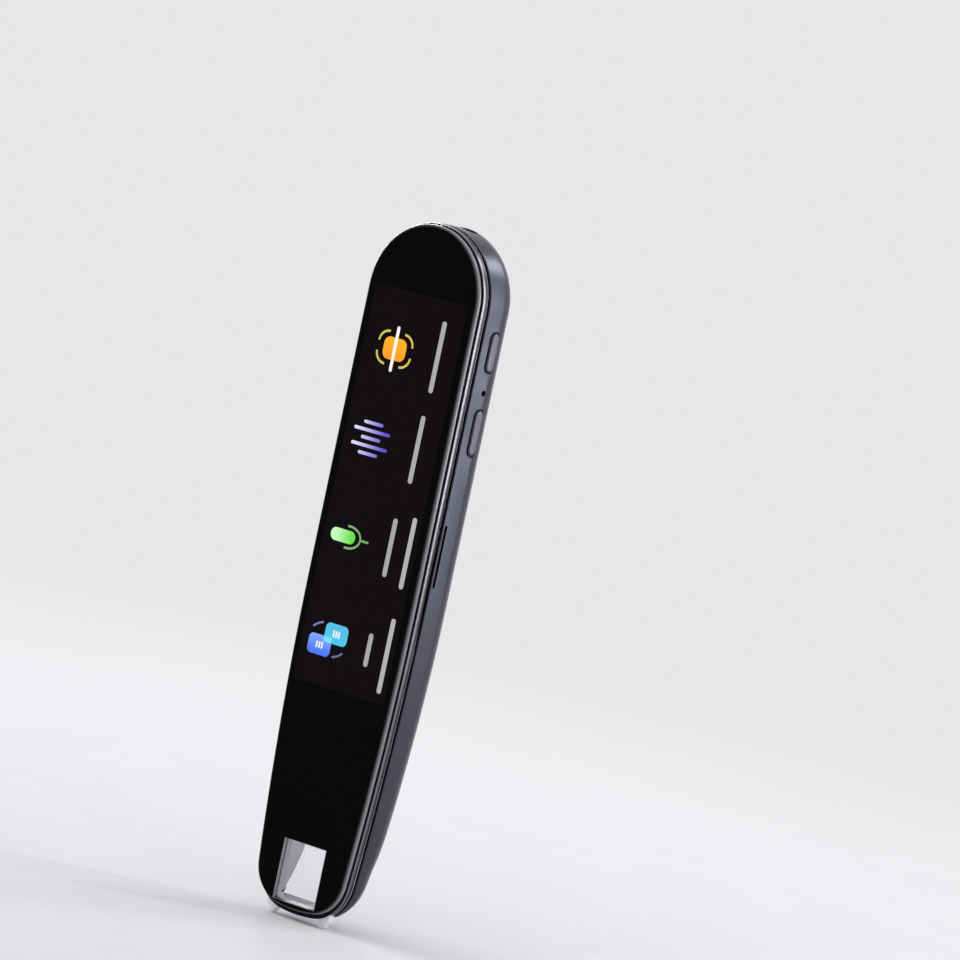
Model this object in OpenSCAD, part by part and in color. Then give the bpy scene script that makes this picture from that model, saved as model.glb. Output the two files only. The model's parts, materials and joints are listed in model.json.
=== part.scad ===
// Handheld scanning translator: a pen with a screen, two side buttons and a sprung press tip.
// It stands on its tip. Widths run along x, depths from the glass at the front to the back
// along y, and heights along z. Each piece takes its size from the ones it seats on.

/* [Body] */
// Length of the body without the press tip
body_l = 150; // [144:1:156]
// Width at the widest
body_w = 31.6; // [30.8:0.1:33]
// Thickness from the glass to the back
body_d = 14; // [13.6:0.1:15.5]
// Height above the nose up to which width and thickness taper
taper_l = 73; // [68:1:78]
// Radius of the long arc that narrows the sides
side_arc_r = 700; // [650:10:900]
// Radius of the long arc that thins the back
back_arc_r = 965; // [900:5:1200]
// Radius of the two corners of the nose
corner_r = 9.5; // [8.8:0.1:10]
// Radius of the shallow arc along the end of the nose
nose_arc_r = 35; // [32:1:45]
// Height of the rounded back of the nose
nose_round_h = 20.9; // [19:0.1:22]
// Radius of that rounding
nose_round_r = 40; // [38:1:46]
// Radius along the back edge
edge_r = 5.8; // [5:0.1:6]

/* [Layers] */
// Thickness of the cover glass
glass_t = 1.3; // [1.2:0.05:1.4]
// Radius of the glass's front edge
glass_edge_r = 0.9; // [0.6:0.05:1]
// Distance from the body's outline to the glass
glass_inset = 0.4; // [0.3:0.05:0.6]
// How much further in the glass ends at the nose
nose_lift = 0.6; // [0.4:0.05:0.7]
// Thickness of the adhesive under the glass
adhesive_t = 0.2; // [0.15:0.05:0.3]
// Depth of the bright band of the frame
band_d = 1.7; // [1.6:0.05:1.9]
// Depth of the groove behind the band
groove_d = 0.8; // [0.7:0.05:1]
// How far the groove goes in
groove_inset = 0.75; // [0.6:0.05:0.9]
// Wall of the housing
wall = 1.3; // [1.2:0.05:1.4]
// Width of the frame's ring
ring_w = 2.6; // [2.4:0.1:2.8]
// Thickness of the frame's web
web_t = 0.6; // [0.5:0.05:0.7]
// Depth of the frame's tongue inside the housing
tongue_d = 2; // [1.8:0.1:2.2]

/* [Screen] */
// Top of the screen panel, from the top of the body
panel_top = 13.5; // [12.5:0.5:15]
// Length of the panel
panel_l = 91; // [88:0.5:92]
// Gap between the panel and the frame
panel_gap = 0.15; // [0.1:0.05:0.4]
// Thickness of the panel
panel_t = 0.8; // [0.6:0.1:0.9]

/* [Nose] */
// Width of the sight window in the glass
sight_w = 12.2; // [11.5:0.1:12.6]
// Length of the sight window
sight_l = 13.3; // [12.5:0.1:13.6]
// Height of its lower edge above the end of the nose
sight_z = 2.2; // [2.1:0.1:2.5]
// Height of the metal bar across the end of the nose
bar_h = 2.2; // [2:0.1:2.4]
// Distance from the body's widest side to the notch in the housing
notch_side = 7.2; // [7:0.1:7.5]
// Height of the notch
notch_h = 17.5; // [17:0.1:18]
// Radius of the notch's upper corners
notch_r = 2.4; // [1.5:0.1:3]
// Thickness of the rear window
window_t = 1.1; // [0.9:0.05:1.2]
// Gap around both windows
window_gap = 0.08; // [0.05:0.01:0.12]

/* [Press tip] */
// How far the feet stand out below the nose
foot_proud = 1.1; // [1:0.1:1.3]
// Distance from the notch's side to the middle of each foot
foot_in = 1.4; // [1.2:0.1:1.6]
// Width of a foot at its root
foot_w = 3.4; // [3:0.1:3.6]
// Width of a foot at its end
foot_end_w = 1.4; // [1.2:0.1:1.8]
// Depth of a foot, front to back
foot_t = 1.6; // [1.4:0.05:1.7]
// Depth at which the feet start, from the front
foot_front = 2; // [1.95:0.05:2.1]
// Travel of the tip
tip_travel = 0.7; // [0.5:0.05:0.8]
// Running gap around the tip
tip_gap = 0.12; // [0.1:0.01:0.2]
// Outer diameter of the return springs
spring_od = 1.4; // [1.2:0.05:1.5]
// Diameter of the spring wire
spring_wire = 0.22; // [0.18:0.01:0.25]
// Length of the springs at rest
spring_l = 3; // [2.8:0.1:3.2]

/* [Buttons] */
// Middle of the upper button, from the top of the body
upper_s = 24.1; // [23.5:0.1:25.5]
// Length of the upper button
upper_l = 8.4; // [7.5:0.1:9]
// Middle of the lower button, from the top of the body
lower_s = 41.4; // [41:0.1:42.2]
// Length of the lower button
lower_l = 9.8; // [9:0.1:10.5]
// Width of both buttons
button_w = 2.5; // [2.2:0.1:2.7]
// Distance of the buttons' middle from the back
button_back = 6.3; // [6:0.05:6.4]
// How far the buttons stand out
button_proud = 0.35; // [0.25:0.05:0.4]
// Travel of the buttons
button_travel = 0.4; // [0.3:0.05:0.45]
// Gap around the buttons
button_gap = 0.15; // [0.12:0.01:0.2]
// Width of the shallow recess around the buttons
recess_w = 0.32; // [0.25:0.01:0.4]
// Depth of that recess
recess_d = 0.35; // [0.2:0.05:0.4]
// Distance of the microphone hole from the top
mic_s = 32.8; // [32.2:0.1:33.4]
// Diameter of the microphone hole
mic_hole = 1.3; // [0.8:0.1:1.6]

/* [Speaker] */
// Width of the speaker plate
plate_w = 18; // [17:0.2:18.4]
// Length of the speaker plate
plate_l = 34.4; // [33:0.2:35]
// Top of the plate, from the top of the body
plate_top = 10.4; // [10:0.1:11]
// Thickness of the plate
plate_t = 0.8; // [0.7:0.05:0.9]
// Width of the soft dished edge around the plate
dish_w = 1.2; // [1:0.1:1.3]
// Depth of that dish
dish_d = 0.45; // [0.3:0.05:0.5]
// Length of a grille slot
slot_l = 7.1; // [6.5:0.1:7.3]
// Width of a grille slot
slot_w = 0.9; // [0.7:0.05:1]
// Pitch of the grille slots
slot_pitch = 2.48; // [2.3:0.02:2.5]
// Distance of each group of slots from the middle of the grille
group_r = 4.05; // [4:0.05:4.2]
// Middle of the grille below the middle of the plate's round end
grille_low = 1; // [0.8:0.1:1.4]

/* [Ports] */
// Width of the charging socket
usb_w = 8.9; // [8.8:0.05:9]
// Height of the charging socket
usb_h = 3.2; // [3.1:0.05:3.3]
// Length of the charging socket
usb_l = 7.4; // [7:0.1:8]
// Middle of the card slot, from the top of the body
card_s = 68.3; // [68:0.1:69.2]
// Length of the card slot
card_l = 13.6; // [13.2:0.1:14]
// Width of the card slot
card_w = 0.8; // [0.7:0.05:0.9]
// Depth of the card slot's middle, from the front
card_d = 4.85; // [4.8:0.05:4.95]

/* [Inside] */
// Thickness of the circuit boards
board_t = 0.8; // [0.6:0.05:0.9]
// Room between the housing's wall and the main board
board_side = 2.9; // [2.8:0.1:3.3]
// Lower end of the main board, from the top of the body
board_end = 80; // [79.5:0.1:80.5]
// Height of the board above the web
board_lift = 1.7; // [1.65:0.05:1.8]
// Top end of the battery, from the top of the body
battery_top = 82; // [81.5:0.1:83]
// Room between the battery and the scan engine
battery_low_room = 6.3; // [6.3:0.5:10]
// Room beside the battery, from the body's widest side
battery_side = 4.6; // [4.5:0.1:5.8]
// Room between the battery and the back wall
battery_back_room = 2.2; // [2.1:0.1:3]
// Thickness of the battery's tape
tape_t = 0.3; // [0.25:0.05:0.4]
// Width of the speaker box
speaker_w = 15; // [14:0.2:15.4]
// Length of the speaker box
speaker_l = 20; // [18:0.2:21]
// Thickness of the speaker box
speaker_t = 3.4; // [3:0.1:3.6]
// Thread diameter of the small screws
screw_d = 1.2; // [1.1:0.05:1.3]
// Running gap between close pieces
gap = 0.1; // [0.08:0.01:0.14]

/* [Hidden] */
$fn = 48;
eps = 0.01;
z_nose = foot_proud;
z_top = z_nose + body_l;
z_arch = z_top - body_w / 2;
notch_hw = body_w / 2 - notch_side;
foot_x = notch_hw - foot_in;
button_d = body_d - button_back;
wall_in = body_w / 2 - wall;
hood_top = z_nose + notch_h + 0.4;
light_top = hood_top + board_t;
cam_l = 5;
z_taper = z_nose + taper_l;
z_round = z_nose + nose_round_h;
frame_front = glass_t + adhesive_t;
groove_front = frame_front + band_d;
house_front = groove_front + groove_d;
web_back = groove_front + web_t;
// The outline's nose corner, tangent to the side arc and to the nose arc
lean = atan((z_taper - z_nose - corner_r) / side_arc_r);
corner_x = half_w(z_nose + corner_r * (1 - sin(lean))) - corner_r * cos(lean);
nose_turn = asin(corner_x / (nose_arc_r - corner_r));
corner_z = z_nose + nose_arc_r - (nose_arc_r - corner_r) * cos(nose_turn);
side_z = corner_z - corner_r * sin(lean);
NOSE_STEPS = 2;
CORNER_STEPS = 9;
SIDE_STEPS = 8;
ARCH_STEPS = 15;
EDGE_STEPS = 6;
LAST = NOSE_STEPS + CORNER_STEPS + SIDE_STEPS + ARCH_STEPS;
NOSE_LAST = NOSE_STEPS + CORNER_STEPS + 3;

// Half the width of the body at height z
function half_w(z) = body_w / 2 - (z < z_taper ? pow(z_taper - z, 2) / (2 * side_arc_r) : 0);
// Depth of the back at height z
function back_d(z) = body_d
    - (z < z_taper ? pow(z_taper - z, 2) / (2 * back_arc_r) : 0)
    - (z < z_round ? nose_round_r - sqrt(pow(nose_round_r, 2) - pow(z_round - z, 2)) : 0);
// Radius of the back edge at height z: it shrinks where the nose gets thin
function edge_at(z) = min(edge_r, 0.8 * (back_d(z) - house_front));
// Height of a place that lies s below the top of the body
function at(s) = z_top - s;
function y_of(d) = d - body_d / 2;

// The right half of the outline, from the middle of the nose to the middle of the top. Each
// entry is a point in x and z with its outward normal.
function arc_rim(cx, cz, r, a) = [cx + r * cos(a), cz + r * sin(a), cos(a), sin(a)];
function side_rim(z) = let(a = -atan(max(0, z_taper - z) / side_arc_r))
    [half_w(z), z, cos(a), sin(a)];
rim = concat(
    [for (i = [0 : NOSE_STEPS - 1])
        arc_rim(0, z_nose + nose_arc_r, nose_arc_r, -90 + nose_turn * i / NOSE_STEPS)],
    [for (i = [0 : CORNER_STEPS - 1])
        arc_rim(corner_x, corner_z, corner_r,
            -90 + nose_turn + (90 - nose_turn - lean) * i / CORNER_STEPS)],
    [for (i = [0 : SIDE_STEPS - 1])
        side_rim(side_z + (z_taper - side_z) * pow(i / SIDE_STEPS, 1.6))],
    [for (i = [0 : ARCH_STEPS]) arc_rim(0, z_arch, body_w / 2, 90 * i / ARCH_STEPS)]);

// One loop of points around the body: u_of(i) is how far in point i lies. The left side mirrors
// the right, and the points on the middle line aren't doubled.
function inset_point(i, u, side) = [side * (rim[i][0] - u * rim[i][2]), rim[i][1] - u * rim[i][3]];
function both_sides(last) = concat(
    [for (i = [0 : last]) [i, 1]],
    [for (i = [last == LAST ? last - 1 : last : -1 : 1]) [i, -1]]);
function outline(u) = [for (s = both_sides(LAST)) inset_point(s[0], u, s[1])];

// A loop at one depth
function level_loop(u, d, last) =
    [for (s = both_sides(last)) let(p = inset_point(s[0], u, s[1])) [p[0], y_of(d), p[1]]];
// A loop on the rounded back edge of the body inset by w; turn goes from 0 on the side to 90
function edge_loop(w, turn, last) = [for (s = both_sides(last))
    let(r = max(0.3, edge_at(rim[s[0]][1]) - w),
        p = inset_point(s[0], w + r * (1 - cos(turn)), s[1]))
    [p[0], y_of(back_d(p[1]) - w - r * (1 - sin(turn))), p[1]]];

// A closed solid through a list of loops, from the front to the back
module loft(loops, last) {
    n = len(loops[0]);
    end = (len(loops) - 1) * n;
    function left(i) = i == 0 ? 0 : (last == LAST && i == last) ? last : n - i;
    walls = [for (k = [0 : len(loops) - 2], j = [0 : n - 1])
        let(a = k * n + j, b = k * n + (j + 1) % n) each [[a, b, b + n], [a, b + n, a + n]]];
    back = [for (i = [0 : last - 1])
        each concat(
            left(i + 1) == i + 1 ? [] : [[end + i, end + i + 1, end + left(i + 1)]],
            i == 0 ? [] : [[end + i, end + left(i + 1), end + left(i)]])];
    polyhedron(points = [for (l = loops) each l],
        faces = concat([[for (j = [n - 1 : -1 : 0]) j]], walls, back), convexity = 4);
}

// The body's whole form, inset by w, from depth front to the back, with a small front chamfer
module form(w, front, chamfer = 0.15, last = LAST) {
    loft(concat(
        [level_loop(w + chamfer, front, last), level_loop(w, front + chamfer, last)],
        [for (k = [0 : EDGE_STEPS]) edge_loop(w, 90 * k / EDGE_STEPS, last)]), last);
}

// A solid of the outline whose inset changes with depth: levels are [inset, depth]
module tower(levels) {
    loft([for (l = levels) level_loop(l[0], l[1], LAST)], LAST);
}

// A flat shape drawn in x and z, from depth d0 to d1
module slab(d0, d1) {
    translate([0, y_of(d1), 0])
        rotate([90, 0, 0])
            linear_extrude(d1 - d0)
                children();
}

module block(x, d, z) {
    translate([x[0], y_of(d[0]), z[0]])
        cube([x[1] - x[0], d[1] - d[0], z[1] - z[0]]);
}

// A block on each side of the middle
module blocks(x, d, z) {
    block(x, d, z);
    block([-x[1], -x[0]], d, z);
}

// A round bar or bore along the depth
module peg(x, z, d0, d1, r) {
    translate([x, y_of(d0), z])
        rotate([-90, 0, 0])
            cylinder(r = r, h = d1 - d0);
}

// A flat pill shape, long along its second axis
module pill(w, l) {
    square([w, l - w], center = true);
    for (s = [-1, 1])
        translate([0, s * (l - w) / 2])
            circle(d = w);
}

// A pill on the side of the body, from x0 to x1
module side_pill(x0, x1, d, z, w, l) {
    translate([x0, y_of(d), z])
        rotate([90, 0, 90])
            linear_extrude(x1 - x0)
                pill(w, l);
}

module rounded_rect(w, h, r) {
    square([w - 2 * r, h], center = true);
    square([w, h - 2 * r], center = true);
    for (x = [-1, 1], y = [-1, 1])
        translate([x * (w / 2 - r), y * (h / 2 - r)])
            circle(r);
}

// ---- Front ----
sight_low = z_nose + sight_z;
sight_high = sight_low + sight_l;

// A loop of the glass, which ends further in where the outline faces down
function glass_loop(u, d) = [for (s = both_sides(LAST))
    let(p = inset_point(s[0], glass_inset + u + nose_lift * pow(min(0, rim[s[0]][3]), 2), s[1]))
    [p[0], y_of(d), p[1]]];

module cover_glass() {
    color("#0b0b0d")
    difference() {
        loft(concat(
            [for (a = [0 : 22.5 : 90])
                glass_loop(glass_edge_r * (1 - sin(a)), glass_edge_r * (1 - cos(a)))],
            [glass_loop(0, glass_t)]), LAST);
        block([-sight_w / 2, sight_w / 2], [-1, glass_t + 1], [sight_low, sight_high]);
    }
}

module front_window() {
    g = window_gap;
    color("#dfe4ea")
    block([g - sight_w / 2, sight_w / 2 - g], [0, glass_t], [sight_low + g, sight_high - g]);
}

// The adhesive's ring, which is also the frame's seat
seat_in = glass_inset + 0.8;
seat_w = 0.9;
module glass_adhesive() {
    color("#1a1a1c")
    slab(glass_t, frame_front)
        difference() {
            polygon(outline(seat_in));
            polygon(outline(bay_in));
        }
}

// The panel hangs from the glass, and the backlight lies between it and the web
panel_high = at(panel_top);
panel_low = panel_high - panel_l;
bay_in = seat_in + seat_w;
panel_hw = half_w(panel_low) - bay_in - panel_gap;
module display_panel() {
    color("#120e14")
    block([-panel_hw, panel_hw], [glass_t, glass_t + panel_t], [panel_low, panel_high]);
}

module backlight() {
    color("#c9ccd2")
    block([-panel_hw, panel_hw], [glass_t + panel_t, groove_front], [panel_low, panel_high]);
}

// The flex folds through the web from the panel's top edge to a plug on the board
flex_r = 1.25;
flex_t = 0.15;
flex_hw = 4;
flex_d = glass_t + panel_t / 2 + flex_r;
fold_l = 1.5;
flex_fold = panel_high + fold_l;
plug_l = 2.6;
board_front = web_back + board_lift;
board_back = board_front + board_t;
board_hw = wall_in - board_side;
module display_flex() {
    color("#a9671f") {
        translate([flex_hw, y_of(flex_d), flex_fold])
            rotate([0, -90, 0])
                half_ring();
        block([-flex_hw, flex_hw], [flex_d - flex_r - flex_t / 2, flex_d - flex_r + flex_t / 2],
            [panel_high, flex_fold]);
        block([-flex_hw, flex_hw], [flex_d + flex_r - flex_t / 2, flex_d + flex_r + flex_t / 2],
            [panel_high - plug_l, flex_fold]);
        block([-flex_hw, flex_hw], [flex_d + flex_r + flex_t / 2, board_front],
            [panel_high - plug_l, panel_high]);
    }
}

// The flex's half turn: a half ring about the x axis, on the side of rising z
module half_ring() {
    linear_extrude(2 * flex_hw)
        intersection() {
            difference() {
                circle(flex_r + flex_t / 2);
                circle(flex_r - flex_t / 2);
            }
            translate([0, -2 * flex_r])
                square([2 * flex_r, 4 * flex_r]);
        }
}

// ---- Frame ----
tongue_in = wall + gap;
bay_hw = notch_hw + 0.6;
bridge_low = sight_high + 0.9;
bridge_high = bridge_low + 4.9;
bay_top = bridge_high + spring_l;
web_low = bay_top - 2;
bar_top = z_nose + bar_h;
panel_bay_low = panel_low - 0.4;
post_x = 5.5;
post_z = at(38.5);
post_r = 1.7;
boss_r = 1.8;
boss_x = board_hw - 2;
boss_at = [for (x = [-boss_x, boss_x], s = [24, 57]) [x, at(s)]];
pilot_r = screw_d / 2 - 0.02;
floor_d = body_d - plate_t - 0.15;
pad_d = floor_d - 0.95;
leg_x = [foot_x - 0.9, foot_x + 1.1];
leg_top_gap = 0.2;
tongue_low = z_nose + 12;
card_room = 0.9;
flex_room = 0.6;
break_w = 0.8;
break_d = 0.9;
insert_w = 0.5;
bar_gap = 0.15;
foot_top = z_nose + 3.4;
slot_front = foot_front - tip_gap;
slot_back = foot_front + foot_t + tip_gap;

module mid_frame() {
    color("#a3a7ae") {
        difference() {
            tower([[0.25, frame_front], [0.1, frame_front + 0.15], [0.1, groove_front],
                [groove_inset, groove_front], [groove_inset, house_front],
                [tongue_in, house_front], [tongue_in, house_front + tongue_d]]);
            // Bay of the screen, in front of the web
            slab(frame_front - 1, groove_front)
                intersection() {
                    polygon(outline(bay_in));
                    translate([-body_w / 2, panel_bay_low])
                        square([body_w, body_l]);
                }
            // Bay of the board and the battery, behind the web
            slab(web_back, house_front + tongue_d + 1)
                intersection() {
                    polygon(outline(ring_w));
                    translate([-body_w / 2, web_low])
                        square([body_w, body_l]);
                }
            // Bay of the press tip, and the clear way through the nose
            block([-bay_hw, bay_hw], [frame_front - 1, groove_front], [web_low - 1, bay_top]);
            slab(frame_front - 1, house_front + tongue_d + 1)
                intersection() {
                    polygon(outline(bay_in));
                    translate([-bay_hw, bar_top])
                        square([2 * bay_hw, web_low - bar_top]);
                }
            // The tongue stops above the thin end of the nose
            block([-body_w, body_w], [house_front, house_front + tongue_d + 1],
                [z_nose - 1, tongue_low]);
            // Ways for the feet and legs
            blocks([foot_x - foot_w / 2 - tip_gap, foot_x + foot_w / 2 + tip_gap],
                [slot_front, slot_back], [-1, foot_top + tip_travel + leg_top_gap]);
            // Ways for the card, the buttons and the screen's flex
            block([0, body_w], [web_back, house_front + tongue_d + 1],
                [at(card_s) - card_l / 2 - card_room, at(card_s) + card_l / 2 + card_room]);
            block([0, body_w], [house_front, house_front + tongue_d + 1],
                [at(lower_s) - lower_l / 2 - 2, at(upper_s) + upper_l / 2 + 2]);
            block([-flex_hw - flex_room, flex_hw + flex_room], [groove_front - 1, web_back + 1],
                [panel_high + 0.4, flex_fold + flex_r + flex_room]);
            // The break at the top of the band
            block([-break_w / 2, break_w / 2], [frame_front - 1, groove_front],
                [z_top - break_d, z_top + 1]);
        }
        // Bar across the nose, behind the glass, following the back
        intersection() {
            form(0.1, groove_front, 0.01, NOSE_LAST);
            difference() {
                block([bar_gap - notch_hw, notch_hw - bar_gap], [groove_front, body_d],
                    [z_nose - 1, bar_top]);
                blocks([foot_x - foot_w / 2 - tip_gap, foot_x + foot_w / 2 + tip_gap],
                    [slot_front, slot_back], [-1, bar_top + 1]);
            }
        }
        // Bosses that carry the board, and posts that the housing's screws reach
        for (b = boss_at)
            bored_post(b[0], b[1], board_front, boss_r, board_lift - 0.1);
        for (x = [-post_x, post_x])
            bored_post(x, post_z, pad_d, post_r, 5);
    }
}

// The pale insert in the break of the band
module band_insert() {
    color("#b9bcc6")
    intersection() {
        tower([[0.25, frame_front], [0.1, frame_front + 0.15], [0.1, groove_front]]);
        block([-insert_w / 2, insert_w / 2], [frame_front - 1, groove_front + 1],
            [z_top - break_d, z_top + 1]);
    }
}

// A post on the web, up to depth d, with a pilot hole of a given depth in its end
module bored_post(x, z, d, r, hole) {
    difference() {
        peg(x, z, web_back, d, r);
        peg(x, z, d - hole, d + 1, pilot_r);
    }
}

// ---- Housing ----
plate_z = at(plate_top + plate_l / 2);
grille_z = plate_z + plate_l / 2 - plate_w / 2 - grille_low;
usb_d = board_back + usb_h / 2;
screw_head_r = 1.35;
screw_seat = floor_d - 0.55;
cut_in = wall_in - 1;
pad_rim = 0.8;
dish_low = 0.3;
sound_w = 10.6;
sound_l = 14;

module notch(g) {
    slab(-1, body_d + 1)
        union() {
            translate([-notch_hw + g, -1])
                square([2 * (notch_hw - g), z_nose + notch_h - notch_r + 1]);
            translate([-notch_hw + notch_r, -1])
                square([2 * (notch_hw - notch_r), z_nose + notch_h + 1 - g]);
            for (s = [-1, 1])
                translate([s * (notch_hw - notch_r), z_nose + notch_h - notch_r])
                    circle(notch_r - g);
        }
}

module rear_housing() {
    color("#5f6170")
    difference() {
        union() {
            difference() {
                form(0, house_front);
                form(wall, house_front - 1, 0.01);
            }
            // Pad behind the speaker plate
            slab_at_plate(pad_d, body_d - wall + eps, plate_w + 2 * pad_rim,
                plate_l + 2 * pad_rim);
        }
        notch(0);
        // Pocket of the speaker plate, with its dished edge
        slab_at_plate(floor_d, body_d + 1, plate_w + 2 * gap, plate_l + 2 * gap);
        hull() {
            slab_at_plate(body_d, body_d + 0.5, plate_w + 2 * dish_w, plate_l + 2 * dish_w);
            slab_at_plate(body_d - dish_d, body_d, plate_w + 2 * dish_low,
                plate_l + 2 * dish_low);
        }
        // Sound opening and the housing's screws
        slab(pad_d - 1, floor_d + 1)
            translate([0, grille_z])
                rounded_rect(sound_w, sound_l, 1.5);
        for (x = [-post_x, post_x]) {
            peg(x, post_z, pad_d - 1, floor_d + 1, screw_d / 2 + gap);
            peg(x, post_z, screw_seat, floor_d + 1, screw_head_r + gap);
        }
        // Buttons, microphone and card
        for (b = [[upper_s, upper_l], [lower_s, lower_l]]) {
            side_pill(cut_in, body_w, button_d, at(b[0]),
                button_w + 2 * button_gap, b[1] + 2 * button_gap);
            side_pill(body_w / 2 - recess_d, body_w, button_d, at(b[0]),
                button_w + 2 * recess_w, b[1] + 2 * recess_w);
        }
        translate([cut_in, y_of(button_d), at(mic_s)])
            rotate([0, 90, 0])
                cylinder(d = mic_hole, h = wall + 2);
        side_pill(cut_in, body_w, card_d, at(card_s), card_w, card_l);
        // Charging socket
        translate([0, y_of(usb_d), z_top - usb_l])
            linear_extrude(usb_l + 1)
                rotate(90)
                    pill(usb_h + 2 * gap, usb_w + 2 * gap);
    }
}

module slab_at_plate(d0, d1, w, l) {
    slab(d0, d1)
        translate([0, plate_z])
            pill(w, l);
}

module rear_window() {
    g = window_gap;
    bond = 0.02;
    lip_low = z_nose + notch_h - 2.6;
    lip_hw = notch_hw - 0.9;
    step_hw = notch_hw - 1.2;
    color("#e8ecf2") {
        // The pane follows the back, with a thicker band along its top
        intersection() {
            difference() {
                form(bond, house_front, 0.01, NOSE_LAST);
                form(window_t, house_front - 1, 0.01, NOSE_LAST);
            }
            difference() {
                notch(g);
                block([-body_w, body_w], [-2, body_d + 2], [-2, bar_top + g]);
            }
        }
        // The lip that is bonded inside the housing, and the step that joins it to the pane
        intersection() {
            difference() {
                form(wall + bond, house_front, 0.01, NOSE_LAST);
                form(wall + lip_t, house_front - 1, 0.01, NOSE_LAST);
            }
            block([-lip_hw, lip_hw], [house_front, body_d + 1],
                [lip_low, z_nose + notch_h + 1.2]);
        }
        intersection() {
            difference() {
                form(window_t - 0.05, house_front, 0.01, NOSE_LAST);
                form(wall + 0.1, house_front - 1, 0.01, NOSE_LAST);
            }
            block([-step_hw, step_hw], [house_front, body_d + 1],
                [lip_low, z_nose + notch_h - 0.6]);
        }
    }
}

module grille_slots() {
    for (k = [0 : 2])
        rotate(120 * k)
            translate([group_r, 0])
                for (j = [-1 : 1])
                    rotate(-120)
                        translate([slot_pitch * j, 0])
                            rotate(60 - 90)
                                pill(slot_w, slot_l);
}

module speaker_plate() {
    chamfer = 0.25;
    color("#686a86")
    difference() {
        hull() {
            slab_at_plate(body_d - plate_t, body_d - chamfer, plate_w, plate_l);
            slab_at_plate(body_d - plate_t, body_d, plate_w - 2 * chamfer, plate_l - 2 * chamfer);
        }
        slab(floor_d, body_d + 1)
            translate([0, grille_z])
                mirror([1, 0])
                    grille_slots();
    }
}

module speaker_mesh() {
    color("#202024")
    slab(floor_d, body_d - plate_t)
        intersection() {
            translate([0, plate_z])
                pill(plate_w - 1, plate_l - 1);
            translate([0, grille_z])
                square([plate_w, 16.6], center = true);
        }
}

// ---- Speaker ----
gasket_t = 0.3;
gasket_w = 1.2;
cone_d = 8;
speaker_z = grille_z - 1.5;
speaker_back = pad_d - gasket_t;
module speaker_outline(inset = 0) {
    translate([0, speaker_z])
        rounded_rect(speaker_w - 2 * inset, speaker_l - 2 * inset, 2 - inset / 2);
}

module speaker_gasket() {
    color("#2b2b2e")
    slab(speaker_back, pad_d)
        difference() {
            speaker_outline();
            speaker_outline(gasket_w);
        }
}

module speaker() {
    color("#3a3b40")
    difference() {
        slab(speaker_back - speaker_t, speaker_back)
            speaker_outline();
        slab(speaker_back - 0.6, speaker_back + 1)
            difference() {
                speaker_outline(gasket_w);
                translate([0, speaker_z])
                    circle(d = cone_d);
            }
        peg(0, speaker_z, speaker_back - 0.3, speaker_back + 1, cone_d / 2 - 1);
    }
}

// A pan-head screw along the depth, its head's underside at depth d
module screw(x, z, d, l, head_r, head_t) {
    peg(x, z, d, d + head_t, head_r);
    peg(x, z, d - l, d, screw_d / 2 - 0.05);
}

module housing_screws() {
    color("#b9bcc2")
    for (x = [-post_x, post_x])
        screw(x, post_z, screw_seat, 4.2, screw_head_r, 0.5);
}

// ---- Electronics ----
board_top = at(4.6);
board_low = at(board_end);
module main_board() {
    color("#1f6b3c")
    difference() {
        slab(board_front, board_back)
            intersection() {
                polygon(outline(ring_w + 0.5));
                translate([-board_hw, board_low])
                    square([2 * board_hw, board_top - board_low]);
            }
        for (b = boss_at)
            peg(b[0], b[1], board_front - 1, board_back + 1, screw_d / 2 + gap);
        for (x = [-post_x, post_x])
            peg(x, post_z, board_front - 1, board_back + 1, post_r + gap);
    }
}

module board_screws() {
    color("#c4c7cc")
    for (b = boss_at)
        screw(b[0], b[1], board_back, 2, 1.2, 0.5);
}

chip_z = at(48.5);
chip_w = 8.4;
can_w = 15;
can_h = 12;
can_t = 0.25;
can_d = 1.6;
module processor() {
    color("#18181a")
    slab(board_back, board_back + 0.9)
        translate([-2, chip_z])
            square(chip_w, center = true);
}

module shield_can() {
    color("#c9ccd0")
    difference() {
        block([-can_w / 2, can_w / 2], [board_back, board_back + can_d],
            [chip_z - can_h / 2, chip_z + can_h / 2]);
        block([can_t - can_w / 2, can_w / 2 - can_t], [board_back - 1, board_back + can_d - can_t],
            [chip_z - can_h / 2 + can_t, chip_z + can_h / 2 - can_t]);
    }
}

module memory_chip() {
    color("#202022")
    block([-8, 0], [board_back, board_back + 0.8], [at(70), at(63.5)]);
}

usb_low = at(0.8) - usb_l;
usb_back_t = 0.8;
usb_wall = 0.3;
module usb_port() {
    color("#c8cbd0")
    translate([0, y_of(usb_d), usb_low])
        difference() {
            linear_extrude(usb_l)
                rotate(90)
                    pill(usb_h, usb_w);
            translate([0, 0, usb_back_t])
                linear_extrude(usb_l)
                    rotate(90)
                        pill(usb_h - 2 * usb_wall, usb_w - 2 * usb_wall);
        }
}

module usb_tongue() {
    color("#151517")
    block([-3.3, 3.3], [usb_d - 0.35, usb_d + 0.35],
        [usb_low + usb_back_t, usb_low + usb_l - 1]);
}

card_front = web_back + 0.3;
module card_socket() {
    x1 = wall_in - gap;
    half = card_l / 2 + 0.5;
    color("#bfc3c9")
    difference() {
        block([x1 - 13.4, x1], [card_front, board_front], [at(card_s) - half, at(card_s) + half]);
        block([x1 - 12.4, x1 + 1], [card_d - card_w / 2, card_d + card_w / 2],
            [at(card_s) - card_l / 2, at(card_s) + card_l / 2]);
    }
}

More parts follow.
